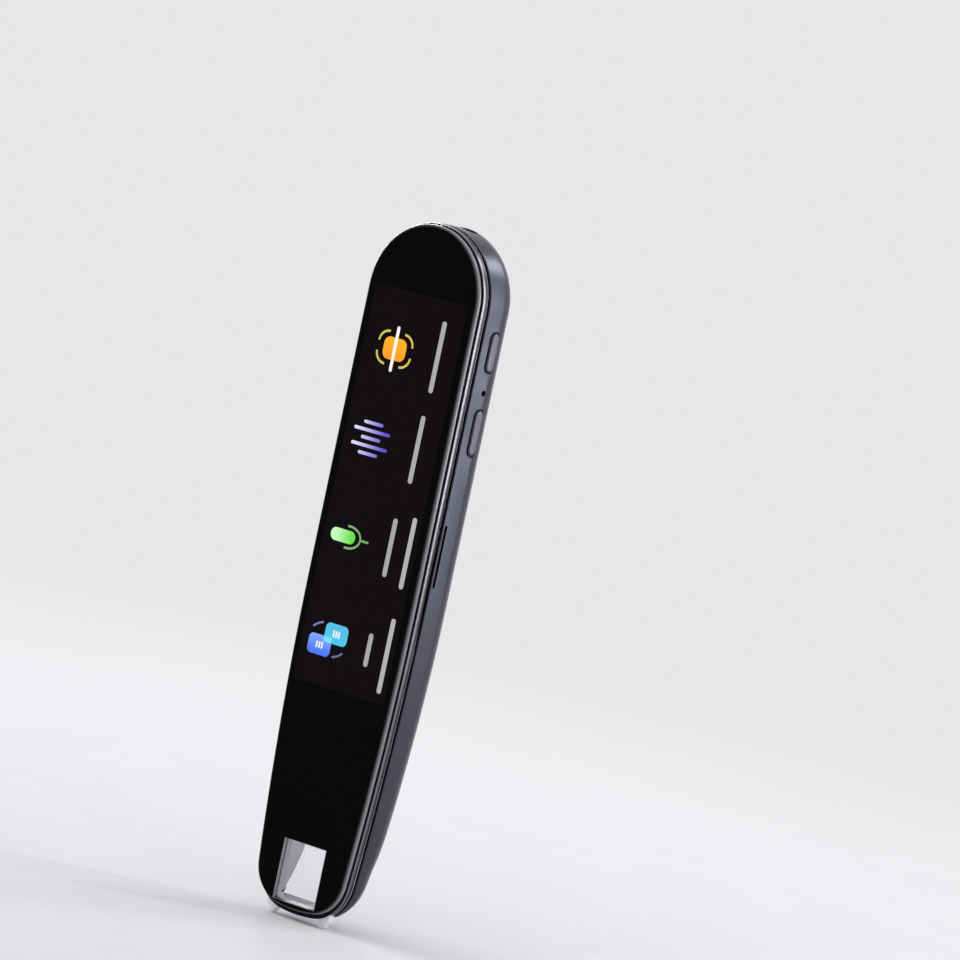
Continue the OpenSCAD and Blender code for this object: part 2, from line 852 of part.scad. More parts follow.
// ---- Buttons ----
flange_t = 0.5;
flange_out = wall_in - 0.25;
flange_in = flange_out - flange_t;
side_board_x = [board_hw + 0.15, board_hw + 0.75];
stem_out = flange_in - button_travel - 0.05;
module side_button(z, l) {
    x1 = body_w / 2 + button_proud;
    side_pill(flange_out - eps, x1 - 0.2, button_d, z, button_w, l);
    hull() {
        side_pill(x1 - 0.25, x1 - 0.2, button_d, z, button_w, l);
        side_pill(x1 - 0.05, x1, button_d, z, button_w - 0.5, l - 0.5);
    }
    side_pill(flange_in, flange_out, button_d, z, button_w + 0.7, l + 1.2);
}

module power_button() {
    color("#8b8ca0")
    side_button(at(upper_s), upper_l);
}

module menu_button() {
    color("#8b8ca0")
    side_button(at(lower_s), lower_l);
}

module side_board() {
    color("#20683d")
    block(side_board_x, [board_front + 0.1, button_d + 2.2],
        [at(lower_s) - lower_l / 2 - 1, at(upper_s) + upper_l / 2]);
}

module tact_switch(z) {
    block([side_board_x[1], side_board_x[1] + 0.5], [button_d - 1.4, button_d + 1.4],
        [z - 1.8, z + 1.8]);
    translate([side_board_x[1] + 0.5, y_of(button_d), z])
        rotate([0, 90, 0])
            cylinder(d = 1.6, h = stem_out - side_board_x[1] - 0.5);
}

module power_switch() {
    color("#d6d8da")
    tact_switch(at(upper_s));
}

module menu_switch() {
    color("#d6d8da")
    tact_switch(at(lower_s));
}

module microphone() {
    color("#c3b27a")
    difference() {
        block([side_board_x[1], wall_in - 0.3], [button_d - 1, button_d + 1],
            [at(mic_s) - 1.4, at(mic_s) + 1.4]);
        translate([wall_in - 0.9, y_of(button_d), at(mic_s)])
            rotate([0, 90, 0])
                cylinder(d = 0.6, h = 2);
    }
}

// ---- Battery ----
battery_high = at(battery_top);
battery_low = light_top + cam_l + battery_low_room;
battery_w = body_w - 2 * battery_side;
battery_front = web_back + tape_t;
battery_t = body_d - wall - battery_back_room - battery_front;
module battery() {
    color("#b4b8bd")
    translate([0, y_of(battery_front + battery_t / 2), battery_low])
        linear_extrude(battery_high - battery_low)
            rounded_rect(battery_w, battery_t, 1.2);
}

module battery_tape() {
    color("#e6e2cf")
    block([-battery_w / 2 + 3, battery_w / 2 - 3], [web_back, battery_front],
        [battery_low + 2, battery_high - 2]);
}

plug_z = board_low + 1.2;
wire_d = board_back + 0.6;
module battery_lead() {
    color("#b52a22") {
        block([-2, 2], [board_back, board_back + 1.2], [plug_z, plug_z + 2.6]);
        for (x = [-0.9, 0.9])
            translate([x, y_of(wire_d), battery_high])
                cylinder(d = 0.8, h = plug_z - battery_high);
    }
}

// ---- Scan engine ----
hood_hw = notch_hw - 0.2;
hood_wall = 0.8;
tail_t = 0.15;
hood_front = web_back + tail_t;
lamp_hole_r = 1.1;
hood_roof = 0.8;
lip_t = 0.6;
scan_front = hood_front + 0.25;
scan_back = back_d(hood_top) - wall - lip_t - 0.3;
cam_t = scan_back - scan_front;
lens_r = cam_t / 2 - 0.4;
lens_d = (scan_front + scan_back) / 2;
lamp_x = lens_r + 2.7;
hood_in = bay_in + 0.05;
module scan_hood() {
    color("#b9bcc4")
    difference() {
        intersection() {
            form(hood_in, hood_front, 0.01, NOSE_LAST);
            block([-hood_hw, hood_hw], [hood_front, body_d], [bar_top + gap, hood_top]);
        }
        block([hood_wall - hood_hw, hood_hw - hood_wall], [hood_front - 1, body_d],
            [bar_top - 1, hood_top - hood_roof]);
        translate([0, y_of(lens_d), hood_top - hood_roof - 1])
            cylinder(r = lens_r + gap, h = hood_roof + 2);
        for (x = [-lamp_x, lamp_x])
            translate([x, y_of(lens_d), hood_top - hood_roof - 1])
                cylinder(r = lamp_hole_r, h = hood_roof + 2);
    }
}

module light_board() {
    color("#1f6b3c")
    difference() {
        block([-hood_hw, hood_hw], [hood_front, scan_back], [hood_top, light_top]);
        translate([0, y_of(lens_d), hood_top - 1])
            cylinder(r = lens_r + gap, h = board_t + 2);
    }
}

module lamps() {
    color("#f3ecc8")
    for (x = [-lamp_x, lamp_x])
        block([x - 0.7, x + 0.7], [lens_d - 0.7, lens_d + 0.7], [hood_top - 0.6, hood_top]);
}

cam_hw = 4.2;
aperture_r = lens_r - 0.9;
module camera_module() {
    color("#26272b")
    difference() {
        union() {
            block([-cam_hw, cam_hw], [scan_front, scan_back], [light_top, light_top + cam_l]);
            translate([0, y_of(lens_d), hood_top - 0.6])
                cylinder(r = lens_r, h = light_top - hood_top + 0.6);
        }
        translate([0, y_of(lens_d), hood_top - 1])
            cylinder(r = aperture_r + 0.02, h = 1.2);
    }
}

module camera_lens() {
    color("#4b5a7a")
    translate([0, y_of(lens_d), hood_top - 0.4])
        cylinder(r = aperture_r, h = 0.6);
}

flex_x = [battery_w / 2 - 2.4, battery_w / 2 - 0.4];
turn_low = web_low + 0.6;
module scan_flex() {
    color("#a9671f") {
        block(flex_x, [web_back, hood_front], [turn_low, board_low + 3]);
        block([flex_x[0] - 1, flex_x[1]], [hood_front, board_front],
            [board_low + 0.4, board_low + 3]);
        // The tail turns down to the light board's front edge
        block([hood_hw - 2, hood_hw], [web_back, hood_front], [hood_top, turn_low]);
        block([hood_hw - 2, flex_x[1]], [web_back, hood_front], [turn_low, turn_low + 2]);
    }
}

// ---- Press tip ----
leg_front = foot_front + 0.1;
leg_back = foot_front + foot_t - 0.1;
switch_stem = bridge_high + tip_travel + 0.05;
module tip_carrier() {
    color("#2a2a2e") {
        blocks(leg_x, [leg_front, leg_back], [foot_top, bridge_high]);
        block([-leg_x[0] - eps, leg_x[0] + eps], [leg_front, leg_back], [bridge_low, bridge_high]);
    }
}

module tip_feet() {
    w = foot_w / 2;
    end_r = foot_end_w / 2;
    root_z = foot_proud + 0.7;
    // The foot narrows to a round end
    half_end = [for (a = [0 : 15 : 90]) [end_r * cos(a), end_r * (1 - sin(a))]];
    half = concat([[w, foot_top], [w, root_z]], half_end);
    color("#f2f2f6")
    for (s = [-1, 1])
        translate([s * foot_x, 0])
            slab(foot_front, foot_front + foot_t)
                polygon(concat(half, [for (i = [len(half) - 2 : -1 : 0]) [-half[i][0], half[i][1]]]));
}

spring_x = 5;
spring_y = groove_front - spring_od / 2 - 0.05;
SPRING_TURNS = 5;
SPRING_STEPS = 12;
WIRE_SIDES = 6;
module tip_springs() {
    wire_r = spring_wire / 2;
    coil_r = spring_od / 2 - wire_r;
    n = SPRING_TURNS * SPRING_STEPS;
    rise = spring_l - spring_wire;
    // Rings of the wire along the coil, each in the plane of the coil's axis
    ring = [for (i = [0 : n], j = [0 : WIRE_SIDES - 1])
        let(a = 360 * i / SPRING_STEPS, b = 360 * j / WIRE_SIDES,
            r = coil_r + wire_r * cos(b))
        [r * cos(a), r * sin(a), wire_r + rise * i / n + wire_r * sin(b)]];
    sides = [for (i = [0 : n - 1], j = [0 : WIRE_SIDES - 1])
        let(a = i * WIRE_SIDES + j, b = i * WIRE_SIDES + (j + 1) % WIRE_SIDES)
        each [[a, a + WIRE_SIDES, b + WIRE_SIDES], [a, b + WIRE_SIDES, b]]];
    color("#cfd2d6")
    for (x = [-spring_x, spring_x])
        translate([x, y_of(spring_y), bridge_high])
            polyhedron(points = ring, faces = concat(
                [[for (j = [0 : WIRE_SIDES - 1]) j]], sides,
                [[for (j = [WIRE_SIDES - 1 : -1 : 0]) n * WIRE_SIDES + j]]), convexity = 6);
}

module tip_switch() {
    color("#d9dadc") {
        block([-1.6, 1.6], [frame_front + 0.25, groove_front], [switch_stem + 0.4, bay_top]);
        translate([0, y_of(leg_front + 0.6), switch_stem])
            cylinder(d = 0.9, h = 0.5);
    }
}

cover_glass();
front_window();
glass_adhesive();
display_panel();
backlight();
display_flex();
mid_frame();
band_insert();
rear_housing();
rear_window();
speaker_plate();
speaker_mesh();
speaker_gasket();
speaker();
housing_screws();
main_board();
board_screws();
processor();
memory_chip();
shield_can();
usb_port();
usb_tongue();
card_socket();
side_board();
power_switch();
menu_switch();
microphone();
power_button();
menu_button();
battery();
battery_tape();
battery_lead();
scan_hood();
light_board();
lamps();
camera_module();
camera_lens();
scan_flex();
tip_switch();
tip_carrier();
tip_feet();
tip_springs();
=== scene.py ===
"""The dressed model of a handheld scanning translator.

Pieces are drawn in millimetres from the body's driving sizes and stored in metres, in the frame of
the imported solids: x to the side with the buttons, y from the glass to the back, z up the pen.
"""

import json
import logging
import math
from collections.abc import Iterable, Sequence
from dataclasses import dataclass, field
from enum import Enum

import bmesh
import bpy
from mathutils import Matrix, Vector


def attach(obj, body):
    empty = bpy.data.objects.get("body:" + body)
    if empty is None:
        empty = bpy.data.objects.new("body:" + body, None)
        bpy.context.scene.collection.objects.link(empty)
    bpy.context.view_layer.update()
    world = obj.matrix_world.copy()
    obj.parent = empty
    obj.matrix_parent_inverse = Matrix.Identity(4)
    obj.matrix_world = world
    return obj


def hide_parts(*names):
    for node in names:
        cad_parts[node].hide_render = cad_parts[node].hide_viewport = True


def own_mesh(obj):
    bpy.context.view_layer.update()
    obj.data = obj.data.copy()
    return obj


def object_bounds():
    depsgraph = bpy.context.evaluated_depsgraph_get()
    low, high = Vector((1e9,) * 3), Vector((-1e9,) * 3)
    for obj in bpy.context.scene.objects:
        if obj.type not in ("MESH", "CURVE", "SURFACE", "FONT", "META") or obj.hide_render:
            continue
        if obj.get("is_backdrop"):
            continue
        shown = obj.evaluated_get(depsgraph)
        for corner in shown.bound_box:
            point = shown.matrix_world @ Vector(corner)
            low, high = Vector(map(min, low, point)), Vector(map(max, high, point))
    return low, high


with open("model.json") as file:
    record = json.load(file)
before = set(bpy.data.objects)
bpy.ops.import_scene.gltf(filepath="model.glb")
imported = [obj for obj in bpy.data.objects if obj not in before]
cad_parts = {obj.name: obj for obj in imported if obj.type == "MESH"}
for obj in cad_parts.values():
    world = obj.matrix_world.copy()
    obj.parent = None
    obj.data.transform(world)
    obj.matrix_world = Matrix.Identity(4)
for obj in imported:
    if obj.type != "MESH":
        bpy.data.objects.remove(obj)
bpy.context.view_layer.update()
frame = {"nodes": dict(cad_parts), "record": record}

LOG = logging.getLogger("translator")
MM = 0.001
Pair = tuple[float, float]
Triple = tuple[float, float, float]
Colour = Triple
Flat = list[Pair]
Mesh = bmesh.types.BMesh
Piece = bpy.types.Object
Socket = bpy.types.NodeSocket

# Limits in millimetres past the body's parts, for cutters that run right through them
PAST_SIDES: Pair = (-14.0, 14.0)
PAST_FACES: Pair = (-9.0, 9.0)
BELOW_NOSE = -2.0

# How far other cutters reach past what they cut
REACH = 1.0

# Most of a noise's values lie between these
SPREAD: Pair = (0.3, 0.7)


class Axis(Enum):
    """The way a flat shape is drawn and pushed out: the two axes it lies in, then its own."""

    X = (1, 2, 0)
    Y = (0, 2, 1)
    Z = (0, 1, 2)

    def place(self, a: float, b: float, along: float) -> Vector:
        """A point at a and b in the shape's plane, at a distance along its own axis, in metres."""
        spot = Vector()
        for axis, value in zip(self.value, (a, b, along)):
            spot[axis] = value
        return spot * MM


class Body(Enum):
    """The bodies that the pieces ride on."""

    SHELL = "body"
    POWER = "power_key"
    MENU = "menu_key"
    TIP = "press_tip"


# ---- The body's form ----


@dataclass(frozen=True)
class RimPoint:
    """A point of the body's outline with its outward normal, in millimetres."""

    x: float
    z: float
    nx: float
    nz: float


@dataclass(frozen=True)
class BodyForm:
    """The outline, the back and the rounded back edge of the body, in millimetres."""

    length: float = 150.0
    width: float = 31.6
    depth: float = 14.0
    taper: float = 73.0
    side_arc: float = 700.0
    back_arc: float = 965.0
    corner: float = 9.5
    nose_arc: float = 35.0
    nose_round_height: float = 20.9
    nose_round: float = 40.0
    edge: float = 5.8
    edge_share: float = 0.8
    least_edge: float = 0.3
    back_margin: float = 0.4
    foot_proud: float = 1.1
    shell_front: float = 4.0
    nose_steps: int = 8
    corner_steps: int = 20
    side_steps: int = 40
    side_crowding: float = 1.3
    straight_steps: int = 6
    arch_steps: int = 40
    edge_steps: int = 14

    @property
    def top(self) -> float:
        """Height of the top of the body."""
        return self.foot_proud + self.length

    def at(self, below: float) -> float:
        """Height of a place that lies a distance below the top."""
        return self.top - below

    def y(self, depth: float) -> float:
        """The y of a depth from the glass."""
        return depth - self.depth / 2

    def ys(self, depths: Pair) -> Pair:
        """The y of two depths."""
        return tuple(self.y(depth) for depth in depths)

    def drop(self, z: float) -> float:
        """How far below the start of the taper a height lies."""
        return max(0.0, self.foot_proud + self.taper - z)

    def half_width(self, z: float) -> float:
        """Half the width of the body at a height."""
        return self.width / 2 - self.drop(z) ** 2 / (2 * self.side_arc)

    def back(self, z: float) -> float:
        """Depth of the back at a height."""
        low = max(0.0, self.foot_proud + self.nose_round_height - z)
        rounding = self.nose_round - math.sqrt(self.nose_round**2 - low**2)
        return self.depth - self.drop(z) ** 2 / (2 * self.back_arc) - rounding

    def edge_radius(self, z: float) -> float:
        """Radius of the back edge at a height: it shrinks where the nose gets thin."""
        return min(self.edge, self.edge_share * (self.back(z) - self.shell_front))

    def right_half(self) -> list[RimPoint]:
        """The right half of the outline, from the middle of the nose to the middle of the top."""
        nose, half = self.foot_proud, self.width / 2
        lean = math.atan((self.taper - self.corner) / self.side_arc)
        seat = nose + self.corner * (1 - math.sin(lean))
        cx = self.half_width(seat) - self.corner * math.cos(lean)
        turn = math.asin(cx / (self.nose_arc - self.corner))
        cz = nose + self.nose_arc - (self.nose_arc - self.corner) * math.cos(turn)
        side = cz - self.corner * math.sin(lean)
        taper_top = nose + self.taper
        arch = self.top - half

        def arc(x: float, z: float, r: float, start: float, sweep: float, steps: int,
                end: int = 0) -> list[RimPoint]:
            """Points on an arc round (x, z), with its last one where end is 1."""
            turns = [start + sweep * i / steps for i in range(steps + end)]
            return [RimPoint(x + r * math.cos(a), z + r * math.sin(a), math.cos(a), math.sin(a))
                    for a in turns]

        def flank(low: float, high: float, steps: int, power: float) -> list[RimPoint]:
            """Points up the side, crowded towards the lower end by the power."""
            heights = [low + (high - low) * (i / steps) ** power for i in range(steps)]
            turns = [-math.atan(self.drop(z) / self.side_arc) for z in heights]
            return [RimPoint(self.half_width(z), z, math.cos(a), math.sin(a))
                    for z, a in zip(heights, turns)]

        down = -math.pi / 2
        return [
            *arc(0.0, nose + self.nose_arc, self.nose_arc, down, turn, self.nose_steps),
            *arc(cx, cz, self.corner, down + turn, -down - turn - lean, self.corner_steps),
            *flank(side, taper_top, self.side_steps, self.side_crowding),
            *flank(taper_top, arch, self.straight_steps, 1.0),
            *arc(0.0, arch, half, 0.0, math.pi / 2, self.arch_steps, end=1),
        ]

    def rim(self) -> list[RimPoint]:
        """The whole outline as a closed loop: point i mirrors point len - i."""
        right = self.right_half()
        left = [RimPoint(-p.x, p.z, -p.nx, p.nz) for p in right[-2:0:-1]]
        return right + left

    def point(self, p: RimPoint, inset: float, depth: float) -> Vector:
        """A point that lies inset from the outline at a depth, in metres."""
        return Vector((p.x - inset * p.nx, self.y(depth), p.z - inset * p.nz)) * MM

    def level(self, inset: float, depth: float, nose_lift: float = 0.0) -> list[Vector]:
        """A loop round the body at one depth.

        Args:
            inset: Distance inside the outline.
            depth: Depth from the glass.
            nose_lift: How much further inside it lies where the outline faces down.

        Returns:
            The loop's points in metres.
        """
        return [
            self.point(p, inset + nose_lift * min(0.0, p.nz) ** 2, depth) for p in self.rim()
        ]

    def edge_loop(self, inset: float, turn: float, flat: float = 0.0) -> list[Vector]:
        """A loop on the rounded back edge of the body inset by a wall.

        Args:
            inset: Distance inside the outer skin.
            turn: Angle round the edge, from 0 on the side to 90 degrees on the back.
            flat: How far the loop lies past the edge, on the back itself.

        Returns:
            The loop's points in metres.
        """
        turn = math.radians(turn)
        loop = []
        for p in self.rim():
            r = max(self.least_edge, self.edge_radius(p.z) - inset)
            inward = inset + r * (1 - math.cos(turn)) + flat
            z = p.z - inward * p.nz
            depth = self.back(z) - inset - r * (1 - math.sin(turn))
            loop.append(self.point(p, inward, depth))
        return loop

    def skin(self, inset: float, front: float, chamfer: float) -> list[list[Vector]]:
        """The loops of the body's outer or inner skin, from its front edge to its back."""
        steps = self.edge_steps
        return [
            self.level(inset + chamfer, front),
            self.level(inset, front + chamfer),
            *(self.edge_loop(inset, 90 * k / steps) for k in range(steps + 1)),
            self.edge_loop(inset, 90, flat=self.back_margin),
        ]


@dataclass(frozen=True)
class SideSpot:
    """The place and size of something on the side with half-round ends, in millimetres."""

    depth: float
    below: float
    width: float
    length: float

    def grown(self, form: BodyForm, out: float = 0.0) -> tuple[float, float, float, float]:
        """Its middle, then its width and length with a margin all round."""
        return (form.y(self.depth), form.at(self.below), self.width + 2 * out,
                self.length + 2 * out)


POWER_SPOT = SideSpot(7.7, 24.1, 2.5, 8.4)
MENU_SPOT = SideSpot(7.7, 41.4, 2.5, 9.8)
MICROPHONE_SPOT = SideSpot(7.7, 32.8, 1.3, 1.3)
CARD_SPOT = SideSpot(4.85, 68.3, 0.8, 13.6)


PLATE_WIDTH, PLATE_LENGTH, PLATE_MIDDLE = 18.0, 34.4, 123.5


# ---- Modelling ----


@dataclass
class Ring:
    """A closed loop of vertices and edges in a mesh."""

    verts: list[bmesh.types.BMVert]
    edges: list[bmesh.types.BMEdge]


def ring(bm: Mesh, points: Sequence[Vector]) -> Ring:
    """Adds a closed loop of points to a mesh."""
    verts = [bm.verts.new(p) for p in points]
    edges = [bm.edges.new(pair) for pair in zip(verts, verts[1:] + verts[:1])]
    return Ring(verts, edges)


def grow(bm: Mesh, last: Ring, points: Sequence[Vector]) -> Ring:
    """Extrudes a ring and draws the new one out to the next loop of points.

    Args:
        bm: The mesh.
        last: The ring to extrude.
        points: Where the new ring's vertices go, in the ring's order.

    Returns:
        The new ring.
    """
    made = bmesh.ops.extrude_edge_only(bm, edges=last.edges)["geom"]
    fresh = {g for g in made if isinstance(g, bmesh.types.BMVert)}
    verts = [
        next(e.other_vert(v) for e in v.link_edges if e.other_vert(v) in fresh)
        for v in last.verts
    ]
    for vert, point in zip(verts, points):
        vert.co = point
    edges = [bm.edges.get(pair) for pair in zip(verts, verts[1:] + verts[:1])]
    return Ring(verts, edges)


def cap(bm: Mesh, end: Ring, strips: bool) -> None:
    """Closes a ring with a face, cut into strips from side to side where its surface is curved."""
    bmesh.ops.contextual_create(bm, geom=end.edges)
    if strips:
        count = len(end.verts)
        for i in range(1, count // 2):
            bmesh.ops.connect_verts(bm, verts=[end.verts[i], end.verts[count - i]])


def loft(
    loops: Sequence[Sequence[Vector]], strips: bool = False, closed: bool = False
) -> Mesh:
    """A solid through a list of loops.

    Args:
        loops: Loops with the same number of points, from one end to the other.
        strips: Whether the end faces follow a curved surface.
        closed: Whether the last loop leads back to the first one, with no end faces.

    Returns:
        The solid's mesh.
    """
    bm = bmesh.new()
    first = last = ring(bm, loops[0])
    for loop in [*loops[1:], *loops[:closed]]:
        last = grow(bm, last, loop)
    if closed:
        bmesh.ops.weld_verts(bm, targetmap=dict(zip(last.verts, first.verts)))
    else:
        cap(bm, first, strips)
        cap(bm, last, strips)
    bmesh.ops.recalc_face_normals(bm, faces=bm.faces)
    return bm


def stacked(axis: Axis, levels: Iterable[tuple[Flat, float]]) -> Mesh:
    """A solid through flat shapes, each at its own place along an axis."""
    return loft([[axis.place(a, b, along) for a, b in shape] for shape, along in levels])


def prism(shape: Flat, axis: Axis, low: float, high: float) -> Mesh:
    """A flat shape pushed out along an axis, from one place to another."""
    return stacked(axis, [(shape, low), (shape, high)])


def joined(parts: Iterable[Mesh]) -> Mesh:
    """Several meshes in one."""
    whole = bmesh.new()
    for part in parts:
        mesh = bpy.data.meshes.new("part")
        part.to_mesh(mesh)
        part.free()
        whole.from_mesh(mesh)
        bpy.data.meshes.remove(mesh)
    return whole


def arc_points(
    x: float, z: float, rx: float, rz: float, start: float, end: float, steps: int = 12
) -> Flat:
    """Points on an arc or a part of an ellipse; angles are in degrees."""
    turns = [math.radians(start + (end - start) * i / steps) for i in range(steps + 1)]
    return [(x + rx * math.cos(a), z + rz * math.sin(a)) for a in turns]


def distinct(shape: Flat, least: float = 1e-5) -> Flat:
    """The shape without corners that fall on the one before."""
    return [p for p, q in zip(shape, shape[-1:] + shape[:-1]) if math.dist(p, q) > least]


def rounded(
    x: float, z: float, w: float, h: float, r: float = math.inf, steps: int = 8
) -> Flat:
    """A rectangle with round corners about its middle: with no radius, its ends are half round."""
    r = min(r, w / 2, h / 2)
    shape: Flat = []
    for sx, sz, turn in ((1, 1, 0), (-1, 1, 90), (-1, -1, 180), (1, -1, 270)):
        corner = (x + sx * (w / 2 - r), z + sz * (h / 2 - r))
        shape += arc_points(*corner, r, r, turn, turn + 90, steps)
    return distinct(shape)


def around_plate(out: float, steps: int = 20) -> Flat:
    """The speaker plate's outline, with a margin all round."""
    return rounded(0, PLATE_MIDDLE, PLATE_WIDTH + 2 * out, PLATE_LENGTH + 2 * out, steps=steps)


def band(
    x: float, z: float, rx: float, rz: float, start: float, end: float, stroke: float
) -> Flat:
    """A curved stroke of even width."""
    half = stroke / 2
    outer = arc_points(x, z, rx + half, rz + half, start, end)
    inner = arc_points(x, z, rx - half, rz - half, end, start)
    return distinct(outer + inner)


def box(x: Pair, y: Pair, z: Pair) -> Mesh:
    """A block between limits in millimetres."""
    bm = bmesh.new()
    size = Vector((x[1] - x[0], y[1] - y[0], z[1] - z[0])) * MM
    middle = Vector((sum(x), sum(y), sum(z))) * MM / 2
    matrix = Matrix.Translation(middle) @ Matrix.Diagonal((*size, 1))
    bmesh.ops.create_cube(bm, size=1.0, matrix=matrix)
    return bm


def as_object(name: str, bm: Mesh) -> Piece:
    """A scene object that holds a mesh, at the origin."""
    mesh = bpy.data.meshes.new(name)
    bm.to_mesh(mesh)
    bm.free()
    made = bpy.data.objects.new(name, mesh)
    bpy.context.scene.collection.objects.link(made)
    return made


def taken(piece: Piece) -> Mesh:
    """The mesh of an object that only served to model it."""
    bm = bmesh.new()
    bm.from_mesh(piece.data)
    bpy.data.objects.remove(piece)
    return bm


def carve(piece: Piece, tool: Mesh, operation: str = "DIFFERENCE") -> None:
    """Cuts, keeps or adds a tool's volume in a piece, for good.

    Args:
        piece: The object to change.
        tool: The mesh that cuts, keeps or adds.
        operation: DIFFERENCE, INTERSECT or UNION.
    """
    cutter = as_object("tool", tool)
    modifier = piece.modifiers.new("carve", "BOOLEAN")
    modifier.object, modifier.operation, modifier.solver = cutter, operation, "EXACT"
    graph = bpy.context.evaluated_depsgraph_get()
    carved = bpy.data.meshes.new_from_object(piece.evaluated_get(graph))
    piece.modifiers.clear()
    old, piece.data = piece.data, carved
    bpy.data.meshes.remove(old)
    bpy.data.objects.remove(cutter)


# ---- Finishes ----


class Nodes:
    """A node tree, with helpers that add nodes to it."""

    def __init__(self, tree: bpy.types.NodeTree) -> None:
        """Works on that tree."""
        self.tree = tree

    def feed(self, source: object, socket: Socket) -> None:
        """Links a socket, or sets a plain value: a colour is given without its alpha."""
        if isinstance(source, Socket):
            self.tree.links.new(source, socket)
        else:
            socket.default_value = (*source, 1.0) if socket.type == "RGBA" else source

    def add(
        self, kind: str, output: int | str, inputs: dict[int | str, object], **settings: object
    ) -> Socket:
        """Adds a node.

        Args:
            kind: The node's type.
            output: The output that is wanted.
            inputs: A value or a socket for each input, by name or number.
            settings: The node's properties.

        Returns:
            The output.
        """
        node = self.tree.nodes.new(kind)
        for key, value in settings.items():
            setattr(node, key, value)
        for key, source in inputs.items():
            self.feed(source, node.inputs[key])
        return node.outputs[output]

    def calc(self, operation: str, *values: object) -> Socket:
        """A number worked out from others."""
        return self.add("ShaderNodeMath", 0, dict(enumerate(values)), operation=operation)

    def times(self, first: object, last: object) -> Socket:
        """The product of two values."""
        return self.calc("MULTIPLY", first, last)

    def between(self, share: Socket, first: Socket, last: Socket) -> Socket:
        """A shader between two shaders."""
        return self.add("ShaderNodeMixShader", 0, {0: share, 1: first, 2: last})

    def seen_directly(self) -> Socket:
        """One for what the camera sees, straight or in metal and glass, and nought for light."""
        rays = self.tree.nodes.new("ShaderNodeLightPath").outputs
        whole = self.calc("MAXIMUM", rays["Is Camera Ray"], rays["Is Glossy Ray"])
        return self.calc("MAXIMUM", whole, rays["Is Transmission Ray"])


class Shade(Nodes):
    """A node material on one Principled shader, with helpers for its patterns."""

    def __init__(self, name: str) -> None:
        """Starts an empty material of that name."""
        self.material = bpy.data.materials.new(name)
        self.material.use_nodes = True
        super().__init__(self.material.node_tree)
        self.shader = self.tree.nodes["Principled BSDF"]
        self.coords = self.add("ShaderNodeTexCoord", "Object", {})

    def set(self, **values: object) -> None:
        """Sets or links the shader's sockets: names are written with underscores."""
        for key, value in values.items():
            self.feed(value, self.shader.inputs[key.replace("_", " ")])

    def noise(self, scale: float, stretch: Colour = (1, 1, 1), detail: float = 3.0) -> Socket:
        """Noise of about so many grains in a metre, times the stretch along each axis."""
        spot = self.add("ShaderNodeMapping", "Vector", {"Vector": self.coords, "Scale": stretch})
        return self.add("ShaderNodeTexNoise", "Fac",
                        {"Vector": spot, "Scale": scale, "Detail": detail})

    def span(
        self, value: object, low: float, high: float, first: float = 0.0, last: float = 1.0
    ) -> Socket:
        """Maps a value from low..high to first..last, held at the ends."""
        inputs = dict(enumerate((value, low, high, first, last)))
        return self.add("ShaderNodeMapRange", "Result", inputs, interpolation_type="SMOOTHSTEP")

    def along(self, axis: Axis) -> Socket:
        """The coordinate along an axis, in metres."""
        return self.add("ShaderNodeSeparateXYZ", axis.value[2], {0: self.coords})

    def rise(self, axis: Axis, low: float, high: float) -> Socket:
        """Nought to one along an axis, between two places in millimetres."""
        return self.span(self.along(axis), low * MM, high * MM)

    def within(self, half: float, low: float, high: float, soft: float) -> Socket:
        """One in a rectangle of x and z about the middle line, nought outside it.

        Args:
            half: Half its width, in millimetres.
            low: Height of its lower edge.
            high: Height of its upper edge.
            soft: How far its edges fade to each side.

        Returns:
            The mask.
        """
        z = self.along(Axis.Z)

        def step(value: Socket, place: float, first: float) -> Socket:
            """A soft step at a place, from one value to the other."""
            return self.span(value, (place - soft) * MM, (place + soft) * MM, first, 1 - first)

        return self.times(step(self.calc("ABSOLUTE", self.along(Axis.X)), half, 1.0),
                          self.times(step(z, low, 0.0), step(z, high, 1.0)))

    def ramp(self, axis: Axis, stops: Sequence[tuple[float, Colour]]) -> Socket:
        """A colour that changes along an axis through stops given in millimetres, in order."""
        low, high = stops[0][0], stops[-1][0]
        node = self.tree.nodes.new("ShaderNodeValToRGB")
        self.feed(self.add("ShaderNodeMapRange", "Result",
                           {0: self.along(axis), 1: low * MM, 2: high * MM}), node.inputs["Fac"])
        elements = node.color_ramp.elements
        for k, (spot, colour) in enumerate(stops):
            share = (spot - low) / (high - low)
            inner = 0 < k < len(stops) - 1
            stop = elements.new(share) if inner else elements[-1 if k else 0]
            stop.position, stop.color = share, (*colour, 1.0)
        return node.outputs["Color"]

    def mix(self, share: object, first: object, last: object, blend: str = "MIX") -> Socket:
        """A colour between two colours, or the first blended with the last."""
        return self.add("ShaderNodeMix", 2, {"Factor": share, 6: first, 7: last},
                        data_type="RGBA", blend_type=blend)

    def bump(self, height: Socket, depth: float) -> None:
        """Raises the surface by a pattern, depth in millimetres."""
        self.set(Normal=self.add("ShaderNodeBump", "Normal",
                                 {"Height": height, "Strength": 1.0, "Distance": depth * MM}))


def tinted(colour: Colour, share: float) -> Colour:
    """A colour made lighter or darker by a factor."""
    return tuple(min(1.0, c * share) for c in colour)


